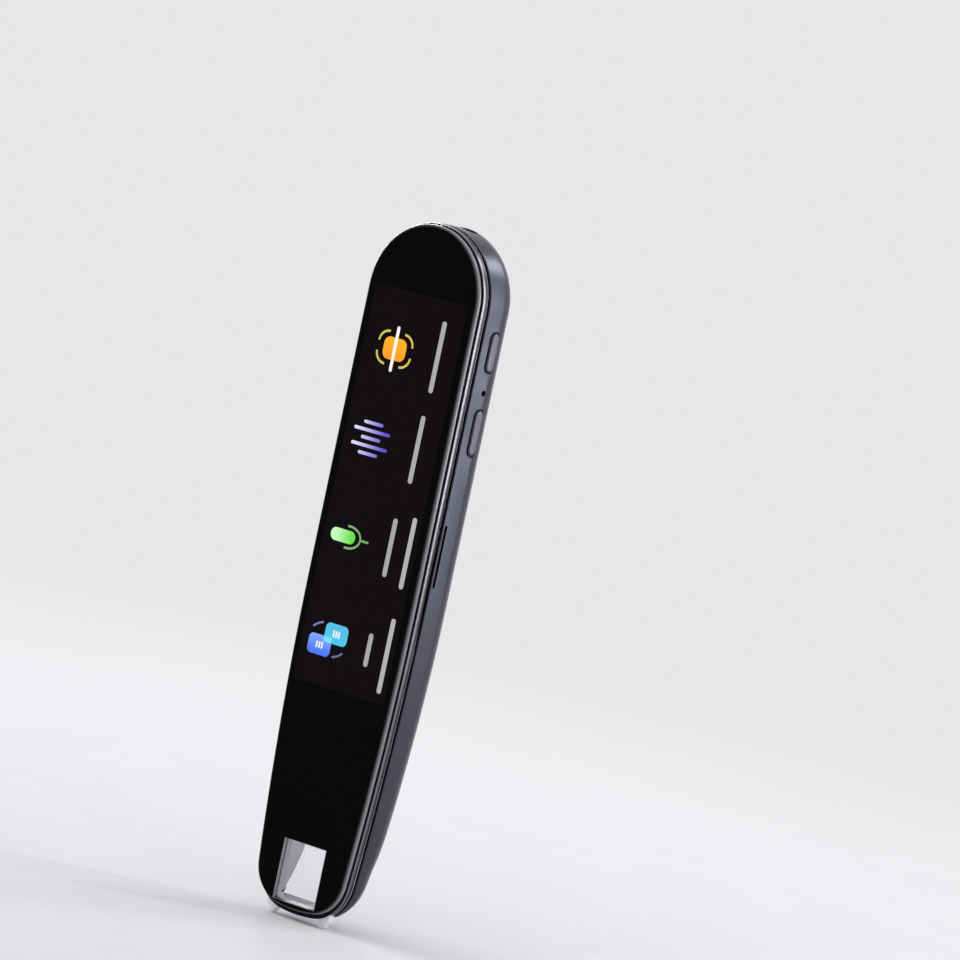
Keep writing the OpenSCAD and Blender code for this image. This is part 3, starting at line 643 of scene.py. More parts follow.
@dataclass(frozen=True)
class Finish:
    """A surface with fine grain, uneven tone and faint handling marks."""

    name: str
    base: Colour
    roughness: float
    metallic: float = 0.0
    specular: float = 0.5
    coat: float = 0.0
    coat_roughness: float = 0.12
    grain: float = 5000.0
    stretch: Colour = (1, 1, 1)
    tone: float = 0.08
    smears: float = 90.0
    marks: float = 0.05
    relief: float = 0.003

    def material(self) -> bpy.types.Material:
        """Makes the finish's material."""
        shade = Shade(self.name)
        grain = shade.noise(self.grain, self.stretch)
        smear = shade.noise(self.smears, detail=4.0)
        low, high = self.roughness - self.marks, self.roughness + self.marks
        shade.set(
            Base_Color=self.colour(shade, grain),
            Roughness=shade.span(smear, *SPREAD, low, high),
            Metallic=self.metallic,
            Specular_IOR_Level=self.specular,
            Coat_Weight=self.coat,
            Coat_Roughness=self.coat_roughness,
        )
        shade.bump(grain, self.relief)
        self.extra(shade)
        return shade.material

    def colour(self, shade: Shade, grain: Socket) -> Socket:
        """The base colour, a little lighter and darker from grain to grain."""
        dark, light = tinted(self.base, 1 - self.tone), tinted(self.base, 1 + self.tone)
        return shade.mix(shade.span(grain, *SPREAD), dark, light)

    def extra(self, shade: Shade) -> None:
        """What a special finish adds."""


@dataclass(frozen=True)
class CoverGlassFinish(Finish):
    """Black printed glass with a ground edge, painted lighter as a highlight, and the faint glow
    of the lit screen.
    """

    smears: float = 70.0
    waves: float = 60.0
    screen: Triple = (13.2, 49.8, 135.8)
    glow: Colour = (0.0036, 0.0018, 0.0032)
    # Painted highlight: across these depths the rounded edge turns to the lighter edge tone
    edge: Pair = (-6.98, -6.2)
    edge_tone: Colour = (0.27, 0.27, 0.29)
    edge_coat: float = 0.4
    coat_roughness: float = 0.14
    sight: Triple = (6.25, 2.95, 16.8)

    def material(self) -> bpy.types.Material:
        """Makes the glass: the screen and the edge's painted highlight are masks on the object's
        own coordinates.
        """
        shade = Shade(self.name)
        lit = shade.within(*self.screen, soft=0.15)
        solid = shade.span(shade.within(*self.sight, soft=0.03), 0.0, 1.0, 1.0, 0.0)
        # Painted highlight: a lighter colour on the rounded edge, away from the sight window
        edge = shade.times(shade.rise(Axis.Y, *self.edge), solid)
        smear = shade.noise(self.smears, detail=5.0)
        shade.set(
            Base_Color=shade.mix(edge, self.base, self.edge_tone),
            Roughness=shade.span(smear, 0.35, 0.7, self.roughness, self.roughness + self.marks),
            Specular_IOR_Level=self.specular,
            Emission_Color=shade.mix(lit, (0.0, 0.0, 0.0), self.glow),
            Emission_Strength=1.0,
            Coat_Weight=shade.times(edge, self.edge_coat),
            Coat_Roughness=self.coat_roughness,
        )
        shade.bump(shade.noise(self.waves, detail=1.0), self.relief)
        return shade.material


@dataclass(frozen=True)
class FrameFinish(Finish):
    """Metal painted with light and shade along its depth: a painted shadow in the seam to the
    glass, a bright cut edge that is partly a painted highlight, a flank darkened by painted
    reflection and painted shade in the groove.
    """

    # Painted light and shade from front to back: shadow in the seam, highlight on the cut edge,
    # dark reflection on the flank, shade in the groove
    stops: tuple[tuple[float, Colour], ...] = (
        (-5.40, (0.01, 0.01, 0.014)), (-5.30, (0.24, 0.24, 0.27)), (-5.0, (0.19, 0.19, 0.215)),
        (-4.6, (0.07, 0.07, 0.09)), (-4.15, (0.02, 0.02, 0.028)), (-4.0, (0.006, 0.006, 0.008)),
    )

    def colour(self, shade: Shade, grain: Socket) -> Socket:
        """The stops' painted light and shade along the depth, a little uneven from grain to grain.
        """
        return shade.mix(1.0, shade.ramp(Axis.Y, self.stops), super().colour(shade, grain),
                         blend="MULTIPLY")


@dataclass(frozen=True)
class GradedFinish(Finish):
    """A surface that shades from its own colour to another up the pen, between two heights:
    painted light and shade.
    """

    upper: Colour = (1, 1, 1)
    reach: Pair = (0.0, 1.0)

    def colour(self, shade: Shade, grain: Socket) -> Socket:
        """The base colour below and the other above."""
        share = shade.rise(Axis.Z, *self.reach)
        return shade.mix(share, super().colour(shade, grain), self.upper)


@dataclass(frozen=True)
class PlateFinish(Finish):
    """A brushed plate with a cut chamfer painted light: a painted highlight."""

    face: Pair = (6.97, 6.99)
    # Painted highlight on the chamfer
    chamfer_highlight_tone: Colour = (0.26, 0.26, 0.30)

    def colour(self, shade: Shade, grain: Socket) -> Socket:
        """Brushed on the face, with a painted highlight on the chamfer."""
        brushed = super().colour(shade, grain)
        return shade.mix(shade.rise(Axis.Y, *self.face), self.chamfer_highlight_tone, brushed)


@dataclass(frozen=True)
class ClearFinish(Finish):
    """Clear moulded plastic or glass."""

    base: Colour = (0.97, 0.975, 0.985)
    roughness: float = 0.02
    tone: float = 0.01
    marks: float = 0.015
    relief: float = 0.0004
    bending: float = 1.46

    def extra(self, shade: Shade) -> None:
        """Lets light through."""
        shade.set(Transmission_Weight=1.0, IOR=self.bending)


@dataclass(frozen=True)
class SightFinish(ClearFinish):
    """A clear pane whose edges are opaque in a painted tone that stands in for what is seen
    through the glass.
    """

    clear: Triple = (6.0, 3.4, 16.5)
    # The edges' tone is painted: it stands in for what is seen through the glass there
    edge_tone: Colour = (0.42, 0.42, 0.43)

    def extra(self, shade: Shade) -> None:
        """Lets light through the middle only."""
        clear = shade.within(*self.clear, soft=0.02)
        shade.set(Transmission_Weight=clear, IOR=self.bending,
                  Base_Color=shade.mix(clear, self.edge_tone, self.base))


@dataclass(frozen=True)
class LitFinish(Finish):
    """A mark on the lit screen that shades from one colour to another."""

    roughness: float = 0.06
    specular: float = 0.22
    relief: float = 0.0005
    last: Colour = (1, 1, 1)
    axis: Axis = Axis.X
    reach: Pair = (0.0, 1.0)

    def extra(self, shade: Shade) -> None:
        """Makes the mark glow from one colour to the other along an axis."""
        share = shade.rise(self.axis, *self.reach)
        shade.set(Emission_Color=shade.mix(share, self.base, self.last), Emission_Strength=1.0)

    def colour(self, shade: Shade, grain: Socket) -> Socket:
        """The mark itself is near black: its colour is light."""
        return shade.mix(grain, (0.01, 0.01, 0.01), (0.014, 0.014, 0.014))


@dataclass(frozen=True)
class BoardFinish(Finish):
    """Solder mask with copper runs showing through."""

    runs: float = 900.0
    run_width: float = 0.06
    run_light: float = 1.7

    def colour(self, shade: Shade, grain: Socket) -> Socket:
        """Lighter green along the runs."""
        inputs = {"Vector": shade.coords, "Scale": self.runs, "Mortar Size": self.run_width}
        runs = shade.add("ShaderNodeTexBrick", "Fac", inputs, offset=0.5)
        return shade.mix(runs, super().colour(shade, grain), tinted(self.base, self.run_light))


# Its lighter edge tone is a painted highlight on the rounded edge
GLASS = CoverGlassFinish("cover_glass", (0.0008, 0.0008, 0.001), 0.045, specular=0.03, marks=0.03,
                         relief=0.001)
CLEAR = ClearFinish("clear_window")
# Its stops paint light and shade along the depth of the band
FRAME = FrameFinish("frame_metal", (0.92, 0.92, 0.92), 0.26, metallic=1.0, stretch=(1, 1, 0.06),
                    relief=0.001)
# Grey edges: a painted stand-in for the grey hood wall seen through the glass
SIGHT = SightFinish("sight_window")
# Pale bottom strip: painted light, the bright backdrop seen through the window
NOSE = SightFinish("nose_window", clear=(9.0, 3.85, 30.0), edge_tone=(0.85, 0.85, 0.86))
# Painted light: the bar's top face is pale, melting into the bright backdrop seen through the
# window
BAR = GradedFinish("bar_metal", (0.15, 0.15, 0.18), 0.34, metallic=0.6, relief=0.001,
                   upper=(0.80, 0.80, 0.82), reach=(3.28, 3.32))
# Painted light: pale inside the nose by the windows, darker higher up the pen
INNER_FRAME = GradedFinish("frame_inside", (0.62, 0.62, 0.64), 0.4, metallic=0.3,
                           upper=(0.30, 0.30, 0.33), reach=(16.0, 18.0))
# Painted light: the hood turns lighter up the pen, from shade below to light above
HOOD = GradedFinish("hood_moulding", (0.58, 0.58, 0.61), 0.4, relief=0.004,
                    upper=(0.90, 0.90, 0.92), reach=(5.0, 17.0))
HOUSING = Finish("housing_coating", (0.056, 0.057, 0.077), 0.29, metallic=0.9, grain=9000.0,
                 tone=0.12, relief=0.0008)
KEYS = Finish("key_coating", (0.066, 0.066, 0.085), 0.27, metallic=0.9, grain=9000.0,
              relief=0.0008)
# Its chamfer tone is a painted highlight
PLATE = PlateFinish("brushed_plate", (0.060, 0.062, 0.082), 0.34, metallic=0.6, specular=0.3,
                    grain=2600.0, stretch=(1, 1, 0.012), tone=0.25)
FOOT = Finish("foot_plastic", (0.93, 0.93, 0.95), 0.35, grain=2500.0, tone=0.02)
STEEL = Finish("bright_steel", (0.55, 0.56, 0.58), 0.25, metallic=1.0, stretch=(1, 0.1, 1))

# The finish of every carried solid, by its material slot
SLOTS = {
    "adhesive": Finish("foam_adhesive", (0.012, 0.012, 0.013), 0.8, grain=3000.0, relief=0.02),
    "screen": Finish("screen_panel", (0.012, 0.009, 0.012), 0.15),
    "grey_plastic": Finish("grey_moulding", (0.60, 0.61, 0.64), 0.38, relief=0.004),
    "flex": Finish("flex_film", (0.35, 0.14, 0.03), 0.35, stretch=(1, 1, 0.1)),
    "frame": INNER_FRAME,
    "housing": HOUSING,
    "plate": PLATE,
    "button": KEYS,
    "foot": FOOT,
    "glass_clear": CLEAR,
    "glass_black": GLASS,
    "black_plastic": Finish("black_moulding", (0.02, 0.02, 0.022), 0.45, relief=0.004),
    "white_plastic": Finish("white_moulding", (0.7, 0.7, 0.68), 0.4),
    "tape": Finish("paper_tape", (0.6, 0.57, 0.48), 0.7, grain=2500.0, relief=0.01),
    "circuit_board": BoardFinish("circuit_board", (0.02, 0.10, 0.04), 0.4),
    "chip": Finish("chip_body", (0.02, 0.02, 0.022), 0.5, grain=8000.0, relief=0.004),
    "steel": STEEL,
    "pouch": Finish("laminate_pouch", (0.45, 0.46, 0.48), 0.35, metallic=0.8, grain=700.0,
                    relief=0.02),
    "lead": Finish("red_lead", (0.4, 0.01, 0.008), 0.4),
    "lamp": Finish("lamp_lens", (0.8, 0.74, 0.5), 0.2),
    "lens": Finish("coated_lens", (0.02, 0.03, 0.09), 0.06, coat=1.0),
}

# Solids with a finish of their own
OWN = {"front_window": SIGHT, "scan_hood": HOOD}


@dataclass
class Workshop:
    """Keeps the materials, and dresses each finished piece and sets it on its body."""

    made: dict[str, bpy.types.Material] = field(default_factory=dict)
    crease: float = 28.0

    def material(self, finish: Finish) -> bpy.types.Material:
        """The finish's material, made once."""
        if finish.name not in self.made:
            self.made[finish.name] = finish.material()
        return self.made[finish.name]

    def hand_over(
        self,
        piece: Piece,
        finish: Finish,
        slot: str,
        body: Body = Body.SHELL,
        stands_for: Sequence[str] = (),
    ) -> None:
        """Smooths, dresses and seats a piece: edges sharper than the crease angle stay crisp.

        Args:
            piece: The finished object.
            finish: Its finish.
            slot: The record's material slot. It is not used.
            body: The body it rides on.
            stands_for: Nodes that it replaces.
        """
        piece.data.shade_smooth()
        piece.data.set_sharp_from_angle(angle=math.radians(self.crease))
        piece.data.materials.clear()
        piece.data.materials.append(self.material(finish))
        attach(piece, body.value)
        if stands_for:
            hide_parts(*stands_for)
        LOG.info("%s: %d faces", piece.name, len(piece.data.polygons))

    def dress_nodes(self) -> None:
        """Gives every carried solid the finish of its slot, or its own."""
        for row in frame["record"]["subparts"]:
            node = frame["nodes"][row["node"]]
            finish = self.material(OWN.get(row["node"], SLOTS[row["material_slot"]]))
            for spot in node.material_slots:
                spot.material = finish


# ---- Pieces ----


@dataclass
class CoverGlass:
    """The cover glass with its softly rounded edge and the opening of the sight window."""

    form: BodyForm
    thickness: float = 1.3
    radius: float = 0.9
    inset: float = 0.4
    nose_lift: float = 0.6
    margin: float = 0.3
    chamfer: float = 0.06
    sight: Triple = (12.2, 3.3, 16.6)
    sight_cut: Pair = (-8.0, -5.0)
    edge_steps: int = 10

    def build(self, shop: Workshop) -> None:
        """Models the glass and hands it over."""
        levels = [(self.inset + self.radius + self.margin, 0.0)]
        for k in range(self.edge_steps + 1):
            a = math.pi / 2 * k / self.edge_steps
            levels.append((self.inset + self.radius * (1 - math.sin(a)),
                           self.radius * (1 - math.cos(a))))
        levels += [(self.inset, self.thickness - self.chamfer),
                   (self.inset + self.chamfer, self.thickness)]
        loops = [self.form.level(*level, self.nose_lift) for level in levels]
        glass = as_object("cover_glass_polished", loft(loops))
        width, low, high = self.sight
        carve(glass, box((-width / 2, width / 2), self.sight_cut, (low, high)))
        shop.hand_over(glass, GLASS, "glass_black", stands_for=["cover_glass"])


@dataclass
class FrameBand:
    """The band and the groove, as a fine skin over the frame: their brightness and darkness are
    painted light and shade in the frame's finish.
    """

    form: BodyForm
    section: tuple[Pair, ...] = (
        (1.1, 1.47), (0.26, 1.47), (0.13, 1.52), (0.07, 1.64), (0.05, 1.95), (0.05, 2.75),
        (0.07, 3.02), (0.13, 3.13), (0.26, 3.18), (0.72, 3.18), (0.72, 4.0), (1.1, 4.0),
    )
    break_half: float = 0.4
    break_depth: Pair = (1.2, 3.3)
    break_height: float = 0.9
    slot_x: Pair = (5.38, 9.02)
    slot_depth: Pair = (1.88, 3.72)
    slot_z: Pair = (-1.0, 6.0)
    bar: Triple = (0.06, 3.18, 0.04)
    bar_half: float = 8.47
    bar_top: float = 3.33

    def cut_foot_slots(self, piece: Piece) -> None:
        """Cuts the ways of the two feet."""
        y = self.form.ys(self.slot_depth)
        low, high = self.slot_x
        ways = [box(x, y, self.slot_z) for x in ((low, high), (-high, -low))]
        carve(piece, joined(ways))

    def build(self, shop: Workshop) -> None:
        """Models the band and the bar across the nose."""
        form = self.form
        corners = [form.level(*corner) for corner in self.section]
        skin = as_object("frame_band", loft(corners, closed=True))
        carve(skin, box((-self.break_half, self.break_half), form.ys(self.break_depth),
                        (form.top - self.break_height, form.top + REACH)))
        self.cut_foot_slots(skin)
        shop.hand_over(skin, FRAME, "frame")
        bar = as_object("nose_bar", loft(form.skin(*self.bar), strips=True))
        across = box((-self.bar_half, self.bar_half), PAST_FACES, (BELOW_NOSE, self.bar_top))
        carve(bar, across, "INTERSECT")
        self.cut_foot_slots(bar)
        shop.hand_over(bar, BAR, "frame")


@dataclass
class Housing:
    """The moulded rear housing with its openings, and the clear window in its notch."""

    form: BodyForm
    wall: float = 1.3
    inner_chamfer: float = 0.01
    outer_chamfer: float = 0.15
    notch_half: float = 8.6
    notch_top: float = 18.6
    notch_corner: float = 2.4
    window: Pair = (0.02, 1.1)
    window_chamfer: float = 0.02
    window_low: float = 3.38
    lip: Pair = (1.05, 1.9)
    lip_margin: float = 0.9
    lip_z: Pair = (-2.6, 1.2)
    gap: float = 0.08
    skin_gap: float = 0.02
    wall_top: float = 40.0
    plate_gap: float = 0.1
    floor: float = 13.05
    pad_margin: float = 0.8
    pad_depth: float = 0.95
    pad_bite: float = 0.2
    dish: Triple = (1.2, 0.3, 0.45)
    dish_lead: Pair = (0.05, 0.6)
    dish_steps: int = 8
    key_room: float = 0.15
    side_cut: Pair = (-3.0, 2.0)
    recess: tuple[Pair, ...] = ((0.24, -0.35), (0.30, -0.12), (0.38, -0.02), (0.62, 0.4))
    socket: Triple = (8.9, 3.2, 7.9)
    socket_room: float = 0.2
    socket_cut: Pair = (-6.0, 1.0)

    def notch(self, gap: float) -> Mesh:
        """The notch's volume, less a gap."""
        half, top, r = self.notch_half - gap, self.notch_top - gap, self.notch_corner - gap
        right = arc_points(half - r, top - r, r, r, 0, 90)
        left = arc_points(r - half, top - r, r, r, 90, 180)
        shape = [(-half, BELOW_NOSE), (half, BELOW_NOSE), *right, *left]
        return prism(shape, Axis.Y, *PAST_FACES)

    def dish_tool(self) -> Mesh:
        """The soft roll of the edge around the speaker plate."""
        outer, inner, depth = self.dish
        levels = [(outer + self.dish_lead[0], self.form.depth + self.dish_lead[1])]
        for k in range(self.dish_steps + 1):
            a = math.pi / 2 * k / self.dish_steps
            out = outer - (outer - inner) * math.sin(a)
            levels.append((out, self.form.depth - depth * (1 - math.cos(a))))
        return stacked(Axis.Y, [(around_plate(out), self.form.y(d)) for out, d in levels])

    def sheet(
        self, name: str, outer: float, inner: float, chamfer: float, ahead: float = 0.0
    ) -> Piece:
        """A skin of the body between two insets.

        Args:
            name: The object's name.
            outer: Inset of its outer face.
            inner: Inset of its inner face.
            chamfer: Chamfer of its outer front edge.
            ahead: How far its front edge lies before the housing's.

        Returns:
            The sheet.
        """
        front = self.form.shell_front - ahead
        loops = [*reversed(self.form.skin(inner, front, self.inner_chamfer)),
                 *self.form.skin(outer, front, chamfer)]
        return as_object(name, loft(loops, strips=True))

    def build_shell(self, shop: Workshop) -> None:
        """Models the housing: a shell with a pad for the plate, and all its openings."""
        form = self.form
        shell = self.sheet("housing_shell", 0.0, self.wall, self.outer_chamfer)
        pad = (self.floor - self.pad_depth, form.depth - self.wall + self.pad_bite)
        carve(shell, prism(around_plate(self.pad_margin), Axis.Y, *form.ys(pad)), "UNION")
        carve(shell, self.notch(0.0))
        carve(shell, self.dish_tool())
        seat = (self.floor, form.depth + REACH)
        carve(shell, prism(around_plate(self.plate_gap), Axis.Y, *form.ys(seat)))
        side = form.width / 2
        low, high = self.side_cut
        for spot, room in ((POWER_SPOT, self.key_room), (MENU_SPOT, self.key_room),
                           (MICROPHONE_SPOT, 0.0), (CARD_SPOT, 0.0)):
            carve(shell, prism(rounded(*spot.grown(form, room)), Axis.X, side + low, side + high))
        for spot in (POWER_SPOT, MENU_SPOT):
            levels = [(rounded(*spot.grown(form, out)), side + x) for out, x in self.recess]
            carve(shell, stacked(Axis.X, levels))
        w, h, depth = self.socket
        mouth = rounded(0, form.y(depth), w + self.socket_room, h + self.socket_room)
        low, high = self.socket_cut
        carve(shell, prism(mouth, Axis.Z, form.top + low, form.top + high))
        shop.hand_over(shell, HOUSING, "housing", stands_for=["rear_housing"])

    def build_window(self, shop: Workshop) -> None:
        """Models the clear window: a pane that follows the back, with a stepped lip on top."""
        pane = self.sheet("nose_window", *self.window, self.window_chamfer)
        carve(pane, self.notch(self.gap), "INTERSECT")
        carve(pane, box(PAST_SIDES, PAST_FACES, (BELOW_NOSE, self.window_low)))
        lip = self.sheet("lip", *self.lip, self.window_chamfer)
        half = self.notch_half - self.lip_margin
        low, high = self.lip_z
        inside = box((-half, half), PAST_FACES, (self.notch_top + low, self.notch_top + high))
        carve(lip, inside, "INTERSECT")
        carve(pane, taken(lip), "UNION")
        # The lip stays inside the housing's wall above the notch
        wall = self.sheet("wall", -REACH, self.wall + self.skin_gap, self.inner_chamfer, REACH)
        above = box(PAST_SIDES, PAST_FACES, (self.notch_top - self.gap, self.wall_top))
        carve(wall, above, "INTERSECT")
        carve(pane, taken(wall))
        shop.hand_over(pane, NOSE, "glass_clear", stands_for=["rear_window"])


@dataclass
class SpeakerPlate:
    """The brushed plate with its chamfer and nine slots in three groups."""

    form: BodyForm
    grille: float = 130.7
    group: float = 4.05
    pitch: float = 2.48
    slot: Pair = (0.9, 7.1)
    slot_depth: Pair = (12.9, 14.5)
    group_turn: float = 120.0
    slot_tilt: float = -30.0
    levels: tuple[Pair, ...] = (
        (0.0, 13.2), (0.0, 13.7), (-0.03, 13.77), (-0.2, 13.96), (-0.27, 13.997), (-0.5, 14.0),
    )

    def slots(self) -> Mesh:
        """The cutters of the nine slots."""
        cutters = []
        bar = rounded(0, 0, *self.slot)
        lean = Matrix.Rotation(math.radians(-self.group_turn), 2)
        tilt = Matrix.Rotation(math.radians(self.slot_tilt), 2)
        for turn in range(3):
            hub = Matrix.Rotation(math.radians(self.group_turn * turn), 2)
            for step in (-1, 0, 1):
                spots = []
                for corner in bar:
                    in_group = Vector((self.pitch * step, 0)) + tilt @ Vector(corner)
                    x, z = hub @ (Vector((self.group, 0)) + lean @ in_group)
                    spots.append((-x, self.grille + z))
                cutters.append(prism(spots, Axis.Y, *self.form.ys(self.slot_depth)))
        return joined(cutters)

    def build(self, shop: Workshop) -> None:
        """Models the plate and hands it over."""
        levels = [(around_plate(out, 24), self.form.y(depth)) for out, depth in self.levels]
        plate = as_object("speaker_plate_brushed", stacked(Axis.Y, levels))
        carve(plate, self.slots())
        shop.hand_over(plate, PLATE, "plate", stands_for=["speaker_plate"])


@dataclass
class Keys:
    """The two long keys on the side."""

    form: BodyForm
    proud: float = 0.35
    root: float = 13.75
    flange: tuple[Pair, ...] = ((0.35, 0.0), (0.35, 0.5), (0.0, 0.51))
    crown: tuple[Pair, ...] = (
        (0.0, 0.32), (-0.03, 0.2), (-0.11, 0.08), (-0.24, 0.02), (-0.36, 0.003), (-0.5, 0.0),
    )

    def build(self, shop: Workshop) -> None:
        """Models both keys with a rounded edge and a flange inside."""
        face = self.form.width / 2 + self.proud
        levels = [(out, self.root + x) for out, x in self.flange]
        levels += [(out, face - x) for out, x in self.crown]
        for node, body, spot in (("power_button", Body.POWER, POWER_SPOT),
                                 ("menu_button", Body.MENU, MENU_SPOT)):
            shapes = [(rounded(*spot.grown(self.form, out), steps=10), x) for out, x in levels]
            key = as_object(f"{node}_cap", stacked(Axis.X, shapes))
            shop.hand_over(key, KEYS, "button", body, [node])


@dataclass
class Feet:
    """The two white feet of the press tip."""

    form: BodyForm
    middle: float = 7.2
    half: float = 1.7
    end: float = 0.7
    root: float = 1.8
    top: float = 4.5
    depth: Pair = (2.0, 3.6)
    rounding: float = 0.14

    def build(self, shop: Workshop) -> None:
        """Models both feet, narrowing to a round end with softened edges."""
        feet = []
        for side in (-1, 1):
            x = side * self.middle
            end = arc_points(x, self.end, self.end, self.end, 180, 360, 14)
            shape = [(x - self.half, self.top), (x - self.half, self.root), *end,
                     (x + self.half, self.root), (x + self.half, self.top)]
            foot = prism(shape, Axis.Y, *self.form.ys(self.depth))
            rims = [e for e in foot.edges if e.verts[0].co.y == e.verts[1].co.y]
            bmesh.ops.bevel(foot, geom=rims, offset=self.rounding * MM, offset_type="OFFSET",
                            segments=3, profile=0.5, affect="EDGES", material=-1,
                            clamp_overlap=True)
            feet.append(foot)
        pair = as_object("tip_feet_pair", joined(feet))
        shop.hand_over(pair, FOOT, "foot", Body.TIP, ["tip_feet"])


@dataclass
class ReturnSprings:
    """The two coil springs that push the press tip out."""

    form: BodyForm
    middle: float = 5.0
    depth: float = 2.45
    low: float = 22.4
    length: float = 3.0
    coil: float = 0.59
    wire: float = 0.11
    turns: int = 5
    steps: int = 16
    sides: int = 8
    travel: float = 0.7

    def coiled(self, x: float) -> Mesh:
        """Winds one spring from a ring of the wire, with both ends closed.

        Args:
            x: Where its middle is across the pen.

        Returns:
            The spring's mesh.
        """
        spring = bmesh.new()
        middle = Axis.Z.place(x, self.form.y(self.depth), self.low)
        start = Matrix.Translation(middle + Axis.Z.place(self.coil, 0, self.wire))
        bmesh.ops.create_circle(spring, cap_ends=False, radius=self.wire * MM,
                                segments=self.sides,
                                matrix=start @ Matrix.Rotation(math.pi / 2, 4, "X"))
        spins = self.turns * self.steps
        rise = (self.length - 2 * self.wire) / spins
        bmesh.ops.spin(spring, geom=spring.verts[:] + spring.edges[:], cent=middle,
                       axis=(0, 0, 1), dvec=Axis.Z.place(0, 0, rise),
                       angle=math.tau * self.turns, steps=spins, use_duplicate=False)
        bmesh.ops.holes_fill(spring, edges=[e for e in spring.edges if e.is_boundary])
        bmesh.ops.recalc_face_normals(spring, faces=spring.faces)
        return spring

    def build(self, shop: Workshop) -> None:
        """Winds both springs."""
        pair = as_object("tip_springs_coiled",
                         joined([self.coiled(x) for x in (-self.middle, self.middle)]))
        shop.hand_over(pair, STEEL, "steel", stands_for=["tip_springs"])
        Axis.Z.place(0, 0, self.low + self.length)
        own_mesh(pair)


